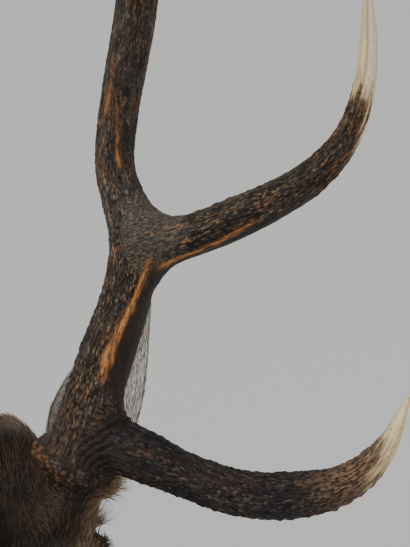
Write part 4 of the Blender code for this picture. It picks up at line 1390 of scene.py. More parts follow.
def make_skin():
    rows = spline(HEAD_SECTIONS, 8)
    parts = [rings_shell([head_ring(r, 96) for r in rows])]
    flat = [(t[0], t[1], b[0], b[1], w) for t, b, w in NECK_SECTIONS]
    parts.append(rings_shell([neck_ring(r, 96) for r in spline(flat, 8)]))
    for side in (1, -1):
        burr = O + AX * BURR_X * side
        axis = BURR_AXIS * np.array([side, 1, 1])
        line = np.array([burr - axis * 0.062, burr - axis * 0.030,
                         burr - axis * 0.004])
        parts.append(grid_tube(line, [PEDICLE_RADIUS * 1.25,
                                      PEDICLE_RADIUS * 1.12,
                                      PEDICLE_RADIUS], 36))
        parts.append(ellipsoid(head_point(side * 0.061, 0.068, -0.040),
                               (AF, AX, AD), (0.034, 0.016, 0.014)))
    ob = shells_object("skin_raw", parts)
    mod = ob.modifiers.new("skin", "REMESH")
    mod.mode = "VOXEL"
    mod.voxel_size = 0.0060
    ob = evaluated(ob, "skin")
    me = ob.data
    print("skin base", len(me.vertices), len(me.polygons))
    set_coords(me, relax(me, coords(me), 9, 0.5))

    def split(test):
        bm = bmesh.new()
        bm.from_mesh(me)
        bm.verts.ensure_lookup_table()
        inside = test(np.array([v.co for v in bm.verts]))
        edges = [e for e in bm.edges
                 if inside[e.verts[0].index] and inside[e.verts[1].index]]
        bmesh.ops.subdivide_edges(bm, edges=edges, cuts=1, use_grid_fill=True)
        bmesh.ops.triangulate(bm, faces=[f for f in bm.faces
                                         if len(f.verts) > 4])
        bm.to_mesh(me)
        bm.free()
        me.update()
        print("skin split", inside.sum(), len(me.vertices), len(me.polygons))

    split(lambda p: (to_head(p)[1] > -0.09) & (to_head(p)[2] > -0.205))
    set_coords(me, relax(me, coords(me), 3, 0.5))

    def detail(p):
        x, f, d = to_head(p)
        keep = ((f > 0.290) & (d > -0.2)) | (
            (f > 0.210) & (np.abs(d - mouth_d(f)) < 0.012))
        q = np.stack([np.abs(x), f, d], 1)
        dist, t = line_distance(q, TEAR)
        return keep | (dist < 0.010)
    split(detail)
    set_coords(me, relax(me, coords(me), 3, 0.5))
    split(lambda p: (to_head(p)[1] > 0.305) & (to_head(p)[2] > -0.2))
    set_coords(me, relax(me, coords(me), 3, 0.5))
    p = coords(me)
    n = normals(me)
    n = unit(relax(me, n, 4, 0.5))
    depth = relax(me, coat_depth(p, n), 6, 0.5)
    p = p - n * depth[:, None]
    set_coords(me, p)
    p = relax(me, p, 2, 0.4)
    set_coords(me, p)
    n = unit(relax(me, normals(me), 2, 0.5))
    p = p + n * sculpt(p, n)[:, None]
    set_coords(me, p)
    p = p + 0 * n
    # keep clear of the board
    p[:, 1] = np.minimum(p[:, 1], -0.0224)
    set_coords(me, p)
    tris = [tuple(v) for f in me.polygons for v in [f.vertices[:]]]
    bvh = BVHTree.FromPolygons([tuple(v) for v in p], tris)
    # lids, hollow under them
    lids = [lid_patch(s, bvh) for s in (1, -1)]
    for s in (1, -1):
        c, out, u, v = eye_frame(s)
        rel = p - c
        rr = np.hypot(rel @ u, rel @ v)
        near = (rel @ out > -0.015)
        p = p - out * (0.0090 * (1 - smooth01(rr, 0.0195, 0.0255)) * near)[:, None]
    set_coords(me, p)
    skin_count = len(me.vertices)
    lid_obs = [shells_like("lid", v, f) for v, f in lids]
    for o in [ob] + lid_obs:
        o.select_set(True)
    with bpy.context.temp_override(active_object=ob, object=ob,
                                   selected_objects=[ob] + lid_obs,
                                   selected_editable_objects=[ob] + lid_obs):
        bpy.ops.object.join()
    me = ob.data
    p = coords(me)
    col, tip = markings(p)
    col = 0.55 * col + 0.45 * tip * 0.62
    bar = bare(p)
    bar[skin_count:] = lid_bare(p[skin_count:])
    col = mix(col, np.array([0.0125, 0.0100, 0.0090]), bar)
    # painted shade inside the nostrils; the dark between the lips is the bare skin colour above
    x, f, d = to_head(p)
    q = np.stack([np.abs(x), f, d], 1)
    dist, t = line_distance(q, NOSTRIL)
    nostril_shade = 1 - smooth01(dist, 0.0015, 0.0055 * (1 - t) + 0.0022)
    pink = np.array([0.030, 0.018, 0.015])
    col = mix(col, pink * 0.35, 0.85 * nostril_shade)
    paint(me, "Col", np.clip(col, 0, 1))
    scalar(me, "Bare", bar)
    uvs = unwrap(p)
    layer = me.uv_layers.new(name="OFBake")
    idx = np.zeros(len(me.loops), np.int32)
    me.loops.foreach_get("vertex_index", idx)
    layer.data.foreach_set("uv", uvs[idx].astype(np.float32).ravel())
    me.shade_smooth()
    me.materials.clear()
    me.materials.append(skin_material())
    ob.name = "skin"
    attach(ob, "root")
    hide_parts("head", "muzzle", "lower_jaw", "neck_upper", "neck_lower")
    print("skin", len(me.vertices), len(me.polygons))
    return ob, skin_count


def shells_like(name, verts, faces):
    me = bpy.data.meshes.new(name)
    me.from_pydata([tuple(v) for v in verts], [], [tuple(f) for f in faces])
    me.update()
    ob = bpy.data.objects.new(name, me)
    bpy.context.scene.collection.objects.link(ob)
    return ob


APERTURE = (0.0143, 0.0102, 0.0084)       # half length, up, down


def rim_of(phi):
    a, up, lo = APERTURE
    c, s = np.cos(phi), np.sin(phi)
    b = np.where(s > 0, up, lo)
    sharp = np.abs(s) ** 1.12
    u = a * c * (1 + 0.15 * np.clip(c, 0, 1) ** 6 + 0.05 * np.clip(-c, 0, 1) ** 6)
    v = b * np.sign(s) * sharp - 0.0009 * np.clip(c, 0, 1) ** 4
    return u, v


def lid_patch(side, bvh):
    c, out, u, v = eye_frame(side)
    m = 144
    phi = np.linspace(0, 2 * np.pi, m, endpoint=False)
    ru, rv = rim_of(phi)
    rr = np.hypot(ru, rv)
    du, dv = ru / rr, rv / rr
    R = EYE_RADIUS
    rows = []

    def sphere(a, b, radius):
        return np.sqrt(np.maximum(radius ** 2 - a ** 2 - b ** 2, 1e-8))

    for shrink, grow in ((0.985, -0.0012), (0.985, 0.0002), (0.993, 0.0008),
                         (1.012, 0.0014), (1.045, 0.0018), (1.085, 0.00195)):
        a, b = ru * shrink, rv * shrink
        rows.append((a, b, sphere(a, b, R + grow)))
    outer = 0.0310
    steps = 30
    for k in range(1, steps + 1):
        t = k / steps
        rho = rr * 1.085 * (1 - t) + outer * t
        a, b = du * rho, dv * rho
        hl = np.sqrt(np.maximum((R + 0.0021) ** 2 - rho ** 2, 0))
        hl = np.where(rho < R + 0.0015, hl, -0.010)
        hs = np.empty(m)
        for i in range(m):
            start = Vector(c + u * a[i] + v * b[i] + out * 0.06)
            hit, nn, k2, dd = bvh.ray_cast(start, Vector(-out), 0.12)
            hs[i] = 0.06 - dd if hit is not None else hl[i]
        K = 0.0030
        hi = np.maximum(hl, hs)
        sm = hi + K * np.log(np.exp((hl - hi) / K) + np.exp((hs - hi) / K)) \
            * (1 - 0 * t)
        # soften so it starts tangent to the lid and ends on the skin
        h = sm * (1 - smooth01(np.full(m, t), 0.55, 1.0)) \
            + hs * smooth01(np.full(m, t), 0.55, 1.0)
        if k == 1:
            h = np.maximum(h, hl)
        # folds: one deep crease above, finer ones below
        edge = rho - rr
        upper = smooth01(dv, 0.05, 0.5)
        lower = smooth01(-dv, 0.05, 0.5)
        h = h - 0.0011 * upper * gauss(edge - 0.0058, 0.0009) \
            + 0.0006 * upper * gauss(edge - 0.0036, 0.0014)
        h = h - 0.0006 * lower * (gauss(edge - 0.0045, 0.0008)
                                  + gauss(edge - 0.0078, 0.0009))
        h = h + 0.00035 * np.sin(phi * 41 + 3 * np.sin(phi * 7)) * \
            np.clip(1 - edge / 0.010, 0, 1)
        sink = smooth01(np.full(m, t), 0.86, 1.0)
        h = h - 0.0016 * sink
        rows.append((a, b, h))
    pts = [c + a[:, None] * u + b[:, None] * v + h[:, None] * out
           for a, b, h in rows]
    n = len(pts)
    verts = np.vstack(pts)
    faces = []
    for i in range(n - 1):
        for k in range(m):
            j = (k + 1) % m
            face = (i * m + k, i * m + j, (i + 1) * m + j, (i + 1) * m + k)
            faces.append(face)
    # normals outwards
    a0, b0, c0 = verts[faces[5 * m][0]], verts[faces[5 * m][1]], verts[faces[5 * m][2]]
    if np.cross(b0 - a0, c0 - b0) @ out < 0:
        faces = [f[::-1] for f in faces]
    return verts, faces


def lid_bare(p):
    best = np.zeros(len(p))
    for s in (1, -1):
        c, out, u, v = eye_frame(s)
        rel = p - c
        a, b = rel @ u, rel @ v
        r = np.linalg.norm(rel, axis=1)
        ph = np.arctan2(b / np.where(b > 0, APERTURE[1], APERTURE[2]),
                        a / APERTURE[0])
        ru, rv = rim_of(ph)
        edge = np.hypot(a, b) - np.hypot(ru, rv)
        w = (1 - smooth01(edge, 0.0015, 0.0045)) * (r < 0.04)
        best = np.maximum(best, w)
    return best


def skin_material():
    mat, nt, bsdf = new_material("skin_under_coat")
    L = nt.links.new
    col = node(nt, "ShaderNodeAttribute", _attribute_name="Col")
    bar = node(nt, "ShaderNodeAttribute", _attribute_name="Bare")
    uv = nt.nodes.new("ShaderNodeUVMap")
    uv.uv_map = "OFBake"
    scale = node(nt, "ShaderNodeMapping")
    scale.inputs["Scale"].default_value = (330, 62, 1)
    L(uv.outputs["UV"], scale.inputs["Vector"])
    hair = node(nt, "ShaderNodeTexNoise", Scale=1.0, Detail=4.0, Roughness=0.72,
                Distortion=0.7)
    L(scale.outputs["Vector"], hair.inputs["Vector"])
    tex = nt.nodes.new("ShaderNodeTexCoord")
    pebble = node(nt, "ShaderNodeTexVoronoi", Scale=620.0)
    L(tex.outputs["Object"], pebble.inputs["Vector"])
    fine = node(nt, "ShaderNodeTexNoise", Scale=900.0, Detail=3.0)
    L(tex.outputs["Object"], fine.inputs["Vector"])
    var = ramp(nt, [(0.32, (0.40, 0.38, 0.37)), (0.52, (1.0, 1.0, 1.0)),
                    (0.68, (1.75, 1.68, 1.55))], hair.outputs["Fac"])
    mul = node(nt, "ShaderNodeMix", _data_type="RGBA", _blend_type="MULTIPLY")
    mul.inputs["Factor"].default_value = 1.0
    L(col.outputs["Color"], mul.inputs[6])
    L(var.outputs["Color"], mul.inputs[7])
    pick = node(nt, "ShaderNodeMix", _data_type="RGBA")
    L(bar.outputs["Fac"], pick.inputs["Factor"])
    L(mul.outputs[2], pick.inputs[6])
    L(col.outputs["Color"], pick.inputs[7])
    L(pick.outputs[2], bsdf.inputs["Base Color"])
    rr = node(nt, "ShaderNodeMapRange")
    rr.inputs["To Min"].default_value = 0.78
    rr.inputs["To Max"].default_value = 0.36
    L(bar.outputs["Fac"], rr.inputs["Value"])
    L(rr.outputs["Result"], bsdf.inputs["Roughness"])
    hm = node(nt, "ShaderNodeMix", _data_type="FLOAT")
    L(bar.outputs["Fac"], hm.inputs["Factor"])
    L(hair.outputs["Fac"], hm.inputs[2])
    L(pebble.outputs["Distance"], hm.inputs[3])
    add = node(nt, "ShaderNodeMath", _operation="MULTIPLY_ADD")
    L(fine.outputs["Fac"], add.inputs[0])
    add.inputs[1].default_value = 0.4
    L(hm.outputs[0], add.inputs[2])
    bump = node(nt, "ShaderNodeBump", Strength=0.85, Distance=0.0016)
    L(add.outputs[0], bump.inputs["Height"])
    L(bump.outputs["Normal"], bsdf.inputs["Normal"])
    bsdf.inputs["Specular IOR Level"].default_value = 0.35
    return mat


# ------------------------------------------------------------------ eyes
def make_eye(side, word):
    c, out, u, v = eye_frame(side)
    rows, cols = ((60, 80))
    R = EYE_RADIUS
    th = np.concatenate([np.linspace(0, 1.0, rows * 2 // 3, endpoint=False),
                         np.linspace(1.0, np.pi, rows - rows * 2 // 3)])
    ph = np.linspace(0, 2 * np.pi, cols, endpoint=False)
    verts, meta = [], []
    for t in th[1:-1]:
        verts.append(c + R * (np.cos(t) * out + np.sin(t) * (
            np.cos(ph)[:, None] * u + np.sin(ph)[:, None] * v)))
    verts = np.vstack(verts + [[c + R * out], [c - R * out]])
    m = len(th) - 2
    faces = []
    for i in range(m - 1):
        for k in range(cols):
            j = (k + 1) % cols
            faces.append((i * cols + k, (i + 1) * cols + k,
                          (i + 1) * cols + j, i * cols + j))
    for k in range(cols):
        j = (k + 1) % cols
        faces.append((m * cols, k, j))
        faces.append((m * cols + 1, (m - 1) * cols + j, (m - 1) * cols + k))
    if side < 0:
        faces = [f[::-1] for f in faces]
    ob = shells_like("eye_%s_glass" % word, verts, faces)
    me = ob.data
    bm = bmesh.new()
    bm.from_mesh(me)
    bmesh.ops.recalc_face_normals(bm, faces=bm.faces)
    bm.to_mesh(me)
    bm.free()
    p = coords(me)
    rel = (p - c) / R
    a, b, h = rel @ u, rel @ v, rel @ out
    rad = np.hypot(a, b)
    front = h > 0
    pupil = np.hypot(a / 0.42, b / 0.230)
    ang = np.arctan2(b, a)
    rays = 0.6 + 0.8 * noise(np.stack([np.cos(ang) * 9, np.sin(ang) * 9,
                                       rad * 3], 1), 91)
    iris = mix([0.036, 0.015, 0.006], [0.012, 0.0055, 0.003],
               smooth01(rad, 0.45, 0.72)) * rays[:, None]
    col = mix([0.0018, 0.0016, 0.0018], iris, smooth01(pupil, 0.9, 1.12))
    white = np.array([0.022, 0.016, 0.013])
    col = mix(col, white, smooth01(rad, 0.76, 0.84))
    col = np.where(front[:, None], col, white)
    paint(me, "Col", np.clip(col, 0, 1))
    me.shade_smooth()
    mat = bpy.data.materials.get("eye_glass")
    if not mat:
        mat, nt, bsdf = new_material("eye_glass")
        at = node(nt, "ShaderNodeAttribute", _attribute_name="Col")
        tex = nt.nodes.new("ShaderNodeTexCoord")
        ns = node(nt, "ShaderNodeTexNoise", Scale=2200.0, Detail=2.0)
        nt.links.new(tex.outputs["Object"], ns.inputs["Vector"])
        var = ramp(nt, [(0.3, (0.75, 0.75, 0.75)), (0.7, (1.3, 1.25, 1.2))],
                   ns.outputs["Fac"])
        mul = node(nt, "ShaderNodeMix", _data_type="RGBA",
                   _blend_type="MULTIPLY")
        mul.inputs["Factor"].default_value = 1.0
        nt.links.new(at.outputs["Color"], mul.inputs[6])
        nt.links.new(var.outputs["Color"], mul.inputs[7])
        nt.links.new(mul.outputs[2], bsdf.inputs["Base Color"])
        bsdf.inputs["Roughness"].default_value = 0.25
        bsdf.inputs["Specular IOR Level"].default_value = 0.10
        bsdf.inputs["Coat Weight"].default_value = 0.55
        bsdf.inputs["Coat Roughness"].default_value = 0.02
    me.materials.append(mat)
    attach(ob, "root")
    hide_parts("eye_" + word)
    return ob


# ------------------------------------------------------------------ coat
def triangles(me):
    me.calc_loop_triangles()
    t = np.zeros(len(me.loop_triangles) * 3, np.int32)
    me.loop_triangles.foreach_get("vertices", t)
    return t.reshape(-1, 3)


def scatter(p, n, tri, density, rng):
    """Points spread over triangles by a density in roots per square metre."""
    a, b, c = p[tri[:, 0]], p[tri[:, 1]], p[tri[:, 2]]
    area = 0.5 * np.linalg.norm(np.cross(b - a, c - a), axis=1)
    want = area * density((a + b + c) / 3, unit(n[tri[:, 0]] + n[tri[:, 1]]
                                                + n[tri[:, 2]]))
    cum = np.cumsum(want)
    total = int(cum[-1])
    if total < 1:
        return np.zeros((0, 3)), np.zeros((0, 3))
    pick = (np.arange(total) + rng.random(total)) * (cum[-1] / total)
    k = np.minimum(np.searchsorted(cum, pick), len(tri) - 1)
    r1, r2 = np.sqrt(rng.random(total)), rng.random(total)
    w0, w1, w2 = 1 - r1, r1 * (1 - r2), r1 * r2
    q = a[k] * w0[:, None] + b[k] * w1[:, None] + c[k] * w2[:, None]
    m = unit(n[tri[k, 0]] * w0[:, None] + n[tri[k, 1]] * w1[:, None]
             + n[tri[k, 2]] * w2[:, None])
    return q, m


def clump_centre(p, size, seed):
    g = p / size
    base = np.floor(g).astype(np.int64)
    best = np.full(len(p), 9.0)
    where = np.zeros_like(p)
    for dx in (-1, 0, 1):
        for dy in (-1, 0, 1):
            for dz in (-1, 0, 1):
                c = base + np.array([dx, dy, dz])
                q = np.stack([_hash(c[:, 0], c[:, 1], c[:, 2], seed + k)
                              for k in (1, 2, 3)], 1)
                q = c + q
                dd = ((g - q) ** 2).sum(1)
                near = dd < best
                best = np.where(near, dd, best)
                where[near] = q[near] * size
    return where


def hair_mesh(name, root, nrm, lie, length, width, lift, droop, sway, base, tip,
              uv, stations=(0.0, 0.5), clump=None, clump_k=0.0, clear=None):
    """Closed thin spikes: three-sided, with the last point as the tip."""
    n = len(root)
    side = unit(np.cross(nrm, lie))
    L = length[:, None]
    pull = 0.0
    if clump is not None:
        pull = clump - root
        pull = pull - nrm * (pull * nrm).sum(1)[:, None]
        pull = pull - lie * (pull * lie).sum(1)[:, None]
    rows = list(stations) + [1.0]
    pts = []
    for t in rows:
        q = (root - nrm * 0.0008 + lie * L * t
             + nrm * L * (lift[:, None] * t - droop[:, None] * t * t)
             + side * L * sway[:, None] * t * t)
        if clump is not None:
            q = q + pull * (clump_k * t ** 1.4)
        if clear is not None:
            q = clear(q, t)
        pts.append(q)
    k = len(stations)
    shape = {1: (1.0,), 2: (0.85, 1.0), 3: (0.7, 1.0, 0.75)}[k]
    verts = np.empty((n, 3 * k + 1, 3))
    for i in range(k):
        w = (width * shape[i])[:, None]
        verts[:, 3 * i] = pts[i] - side * w * 0.5
        verts[:, 3 * i + 1] = pts[i] + side * w * 0.5
        verts[:, 3 * i + 2] = pts[i] + nrm * w * 0.42
    verts[:, 3 * k] = pts[-1]
    local = [(0, 1, 2)] if True else []
    for i in range(k - 1):
        a, b = 3 * i, 3 * i + 3
        for u, v in ((0, 1), (1, 2), (2, 0)):
            local += [(a + u, b + u, b + v), (a + u, b + v, a + v)]
    a = 3 * (k - 1)
    for u, v in ((0, 1), (1, 2), (2, 0)):
        local.append((a + u, 3 * k, a + v))
    local = np.array(local, np.int64)
    m = 3 * k + 1
    faces = (local[None] + (np.arange(n) * m)[:, None, None]).reshape(-1, 3)
    me = bpy.data.meshes.new(name)
    me.vertices.add(n * m)
    me.vertices.foreach_set("co", verts.reshape(-1).astype(np.float32))
    me.loops.add(len(faces) * 3)
    me.loops.foreach_set("vertex_index", faces.reshape(-1).astype(np.int32))
    me.polygons.add(len(faces))
    me.polygons.foreach_set("loop_start",
                            np.arange(0, len(faces) * 3, 3, dtype=np.int32))
    me.update(calc_edges=True)
    # colour from root to tip
    col = np.ones((n, m, 4), np.float32)
    for i in range(k):
        t = stations[i]
        c = base * 0.62 if i == 0 else base * (1 - t) + (base * 0.45
                                                         + tip * 0.55) * t
        col[:, 3 * i:3 * i + 3, :3] = c[:, None, :]
    col[:, 3 * k, :3] = tip
    at = me.color_attributes.new(name="Col", type="FLOAT_COLOR", domain="POINT")
    at.data.foreach_set("color", col.reshape(-1))
    # each tuft a small patch at its root's place
    uvv = np.empty((n, m, 2))
    for i in range(k):
        for j, off in enumerate((-0.0015, 0.0015, 0.0)):
            uvv[:, 3 * i + j, 0] = uv[:, 0] + off
            uvv[:, 3 * i + j, 1] = uv[:, 1] - 0.0015 + 0.003 * stations[i] \
                + (0.0004 if j == 2 else 0.0)
    uvv[:, 3 * k, 0] = uv[:, 0]
    uvv[:, 3 * k, 1] = uv[:, 1] + 0.0015
    layer = me.uv_layers.new(name="OFBake")
    flat = uvv.reshape(-1, 2)[faces.reshape(-1)].astype(np.float32)
    layer.data.foreach_set("uv", np.clip(flat, 0.0, 1.0).reshape(-1))
    ob = bpy.data.objects.new(name, me)
    bpy.context.scene.collection.objects.link(ob)
    me.shade_smooth()
    me.materials.append(coat_material())
    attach(ob, "root")
    print(name, n, "tufts", len(faces), "triangles")
    return ob


def coat_material():
    mat = bpy.data.materials.get("coat_hair")
    if mat:
        return mat
    mat, nt, bsdf = new_material("coat_hair")
    L = nt.links.new
    col = node(nt, "ShaderNodeAttribute", _attribute_name="Col")
    tex = nt.nodes.new("ShaderNodeTexCoord")
    ns = node(nt, "ShaderNodeTexNoise", Scale=160.0, Detail=3.0, Roughness=0.7)
    L(tex.outputs["Object"], ns.inputs["Vector"])
    var = ramp(nt, [(0.30, (0.70, 0.69, 0.68)), (0.52, (1.0, 1.0, 1.0)),
                    (0.74, (1.34, 1.30, 1.24))], ns.outputs["Fac"])
    mul = node(nt, "ShaderNodeMix", _data_type="RGBA", _blend_type="MULTIPLY")
    mul.inputs["Factor"].default_value = 1.0
    L(col.outputs["Color"], mul.inputs[6])
    L(var.outputs["Color"], mul.inputs[7])
    L(mul.outputs[2], bsdf.inputs["Base Color"])
    rr = node(nt, "ShaderNodeMapRange")
    rr.inputs["To Min"].default_value = 0.62
    rr.inputs["To Max"].default_value = 0.46
    L(ns.outputs["Fac"], rr.inputs["Value"])
    L(rr.outputs["Result"], bsdf.inputs["Roughness"])
    bsdf.inputs["Specular IOR Level"].default_value = 0.38
    return mat


def region_weights(p, nrm):
    """Share of each part of the coat at a place."""
    x, f, d = to_head(p)
    ax = np.abs(x)
    hs = head_share(p)
    pad = bare(p)
    eye = np.zeros(len(p))
    for s in (1, -1):
        c, out, u, v = eye_frame(s)
        rel = p - c
        a, b = rel @ u, rel @ v
        b2 = b / np.where(b > 0, APERTURE[1], APERTURE[2])
        rr = np.hypot(a / APERTURE[0], b2)
        eye = np.maximum(eye, (1 - smooth01(rr, 1.32, 1.48))
                         * (rel @ out > -0.005))
    ear = np.zeros(len(p))
    for s in (1, -1):
        c = np.array([s * 0.064, -0.309, 0.522])
        ear = np.maximum(ear, 1 - smooth01(np.linalg.norm(p - c, axis=1),
                                           0.022, 0.030))
    burr = np.zeros(len(p))
    for s in (1, -1):
        c = O + AX * BURR_X * s
        h = (p - c) @ (BURR_AXIS * np.array([s, 1, 1]))
        r = np.linalg.norm((p - c) - h[:, None] * BURR_AXIS
                           * np.array([s, 1, 1]), axis=1)
        burr = np.maximum(burr, smooth01(h, -0.010, -0.006) * (r < 0.05))
    ok = (1 - np.clip(pad * 1.6, 0, 1)) * (1 - eye) * (1 - burr) * (1 - 0.9 * ear)
    cap = (nrm[:, 1] > 0.8) & (p[:, 1] > -0.06)
    ok = np.where(cap, 0, ok)
    up = smooth01(d, -0.098, -0.075)
    hind = 1 - smooth01(f, 0.095, 0.140)
    fore = hs * up * hind
    cheek = hs * (1 - up) * hind
    face = hs * (1 - hind)
    neck = 1 - hs
    return ok, face, fore, cheek, neck


def board_clear(q, t):
    q[:, 1] = np.minimum(q[:, 1], -0.0232 - 0.004 * t)
    return q


def make_coat(skin, skin_count):
    rng = np.random.default_rng(2026)
    me = skin.data
    p, n = coords(me), normals(me)
    tri = triangles(me)
    thin = 1.0
    cm2 = 1e4

    def grow(name, share, count_per_cm2, limits, wild, seed, stations):
        """One region of the coat; limits returns sizes for each root."""
        dens = lambda q, m: share(q, m) * count_per_cm2 * cm2 * thin
        root, nrm = scatter(p, n, tri, dens, rng)
        if not len(root):
            return
        lie = lie_of_coat(root, nrm, wild)
        k = len(root)
        jit = rng.normal(0, 1, (k, 3))
        jit = jit - nrm * (jit * nrm).sum(1)[:, None]
        length, width, lift, droop, clump_size, clump_k, stray = limits(root, nrm)
        lie = unit(lie + jit * stray)
        length = length * rng.uniform(0.72, 1.22, k)
        width = width * rng.uniform(0.75, 1.25, k)
        lift = lift * rng.uniform(0.55, 1.5, k)
        sway = rng.normal(0, 0.10, k)
        base, tip = markings(root)
        tone = rng.uniform(0.66, 1.36, k) * (
            0.70 + 0.60 * noise(root / 0.0065, seed + 7))
        tone = tone[:, None]
        pale = (rng.random(k) < 0.14)[:, None]
        base = base * tone
        tip = tip * tone * np.where(pale, 1.55, 1.0)
        warm = rng.normal(0, 0.05, k)[:, None]
        tint = np.concatenate([1 + warm, 1 + 0 * warm, 1 - warm], 1)
        base, tip = np.clip(base * tint, 0, 1), np.clip(tip * tint, 0, 1)
        uv = unwrap(root)
        centre = clump_centre(root, clump_size, seed)
        tris = {1: 4, 2: 10, 3: 16}[len(stations)]
        limit = 190000 // tris
        pieces = int(math.ceil(k / limit))
        order = np.argsort(root[:, 2] + 0.5 * root[:, 1], kind="stable")
        for i, part in enumerate(np.array_split(order, pieces)):
            tag = name if pieces == 1 else "%s_%d" % (name, i + 1)
            ob = hair_mesh(tag, root[part], nrm[part], lie[part], length[part],
                           width[part], lift[part], droop[part], sway[part],
                           base[part], tip[part], uv[part], stations,
                           centre[part], clump_k, board_clear)

    def near_burr(q):
        r = np.full(len(q), 9.0)
        for s in (1, -1):
            r = np.minimum(r, np.linalg.norm(q - (O + AX * BURR_X * s), axis=1))
        return r

    def face_sizes(q, m):
        x, f, d = to_head(q)
        k = len(q)
        length = 0.0095 - 0.0048 * smooth01(f, 0.13, 0.30)
        length = length * 1.12
        return (length, np.full(k, 0.00100), np.full(k, 0.26),
                np.full(k, 0.10), 0.006, 0.45, 0.13)

    def fore_sizes(q, m):
        x, f, d = to_head(q)
        ax = np.abs(x)
        k = len(q)
        crown = (1 - smooth01(f, 0.000, 0.040)) * (1 - smooth01(ax, 0.03, 0.06))
        length = 0.0165 + 0.0060 * crown - 0.0060 * smooth01(f, 0.06, 0.12)
        r = near_burr(q)
        out = smooth01(ax, 0.052, 0.068) * smooth01(f, -0.025, 0.005) * (
            1 - smooth01(f, 0.054, 0.074)) * smooth01(d, -0.078, -0.056)
        length = length * (0.55 + 0.45 * np.maximum(
            smooth01(r, 0.028, 0.060), out))
        length = length + 0.0110 * out
        lift = 0.24 + 0.05 * crown + 0.62 * out
        return (length, 0.00078 - 0.00018 * out, lift,
                0.12 + 0.06 * crown + 0.22 * out, 0.007, 0.40, 0.18)

    def cheek_sizes(q, m):
        x, f, d = to_head(q)
        k = len(q)
        length = 0.0125 + 0.0050 * (1 - smooth01(f, -0.06, 0.03))
        return (length, np.full(k, 0.00095), np.full(k, 0.20),
                np.full(k, 0.11), 0.008, 0.40, 0.13)

    def neck_sizes(q, m):
        k = len(q)
        x, f, d = to_head(q)
        throat = smooth01(-m[:, 1], 0.1, 0.8)
        grown = mane_share(q)
        length = 0.0150 + (0.023 + 0.024 * throat) * grown
        width = 0.0011 + 0.0011 * grown
        lift = 0.17 + (0.03 + 0.08 * throat) * grown
        return length, width, lift, 0.13 + 0.07 * grown, 0.018, 0.55, 0.14

    mask = lambda i: (lambda q, m: (lambda w: w[0] * w[i])(region_weights(q, m)))
    def seen(q):
        """1 where the photo shows the fur."""
        x, f, d = to_head(q)
        return smooth01(x, -0.085, -0.04) * smooth01(d, -0.09, -0.065) * \
            smooth01(f, -0.08, -0.05)

    def neck_share(q, m):
        w = region_weights(q, m)
        return w[0] * w[4] * (1.0 + 2.6 * (1 - mane_share(q)))

    def fore_share(q, m):
        x, f, d = to_head(q)
        ax = np.abs(x)
        w = region_weights(q, m)
        round_burr = smooth01(ax, 0.054, 0.068) * smooth01(f, -0.030, 0.0) * (
            1 - smooth01(f, 0.052, 0.072)) * smooth01(d, -0.076, -0.050)
        return w[0] * w[2] * (0.48 + 0.42 * seen(q) + 0.8 * round_burr)
    grow("coat_face", mask(1), 95, face_sizes, 0.5, 501, (0.0,))
    grow("coat_forehead", fore_share, 66, fore_sizes, 0.9, 502, (0.0, 0.5))
    grow("coat_cheeks", mask(3), 30, cheek_sizes, 0.7, 503, (0.0, 0.5))
    grow("coat_neck", neck_share, 8.2, neck_sizes, 0.9, 504, (0.0, 0.5))

    # eyelashes and the stiff hairs of the muzzle
    got = []
    for side in (1, -1):
        c, out, u, v = eye_frame(side)
        k = 110
        phi = rng.uniform(0.10, 0.90, k) * np.pi
        a, b = [t * rng.uniform(1.00, 1.07, k) for t in rim_of(phi)]
        h = np.sqrt((EYE_RADIUS + 0.0012) ** 2 - a ** 2 - b ** 2)
        q = c + a[:, None] * u + b[:, None] * v + h[:, None] * out
        go = unit(0.95 * out + 0.30 * v + np.outer(np.cos(phi) * 0.50, u)
                  + 0.10 * rng.normal(0, 1, (k, 3)))
        top = unit(v - go * (go @ v)[:, None])
        got.append((q, top, go, rng.uniform(0.0050, 0.0085, k)
                    * (0.55 + 0.45 * np.sin(phi)), np.full(k, 0.00042),
                    np.zeros(k), np.full(k, 0.30)))

    def stiff(q, m):
        x, f, d = to_head(q)
        low = d - mouth_d(f)
        lips = smooth01(f, 0.235, 0.275) * (1 - smooth01(f, 0.330, 0.340)) \
            * gauss(low - 0.004, 0.016)
        return 0.75 * lips * region_weights(q, m)[0] * 1e4
    q, m = scatter(p, n, tri, stiff, rng)
    k = len(q)
    go = unit(lie_of_coat(q, m, 0.5) + 0.25 * rng.normal(0, 1, (k, 3))
              - 0.45 * AD)
    go = unit(go - m * (go * m).sum(1)[:, None])
    got.append((q, m, go, rng.uniform(0.018, 0.038, k), np.full(k, 0.00050),
                np.full(k, 1.0), np.full(k, 0.35)))
    q, m, go, ln, wd, lift, droop = [np.concatenate(t) for t in zip(*got)]
    k = len(q)
    ink = np.tile(np.array([0.012, 0.009, 0.008]), (k, 1))
    ob = hair_mesh("lashes_and_whiskers", q, m, go, ln, wd, lift, droop,
                   rng.normal(0, 0.10, k), ink, ink * 1.6, unwrap(q),
                   (0.0, 0.35, 0.7))


# ------------------------------------------------------------------ ears
EAR_ROOT = (0.044, -0.312, 0.506)
EAR_BASE = (0.071, -0.308, 0.528)
EAR_LENGTH = 0.205
EAR_AXIS = (0.645, 0.338, 0.685)
EAR_OPENS = (0.00, -0.80, 0.41)
EAR_BOW = 0.003
EAR_HALF_WIDTH = 0.0455
EAR_STALK_WIDTH = 0.026
EAR_PROFILE = (0.56, 0.84, 0.99, 0.96, 0.84, 0.69, 0.51, 0.29, 0.03)
EAR_THICKNESS = 0.0050


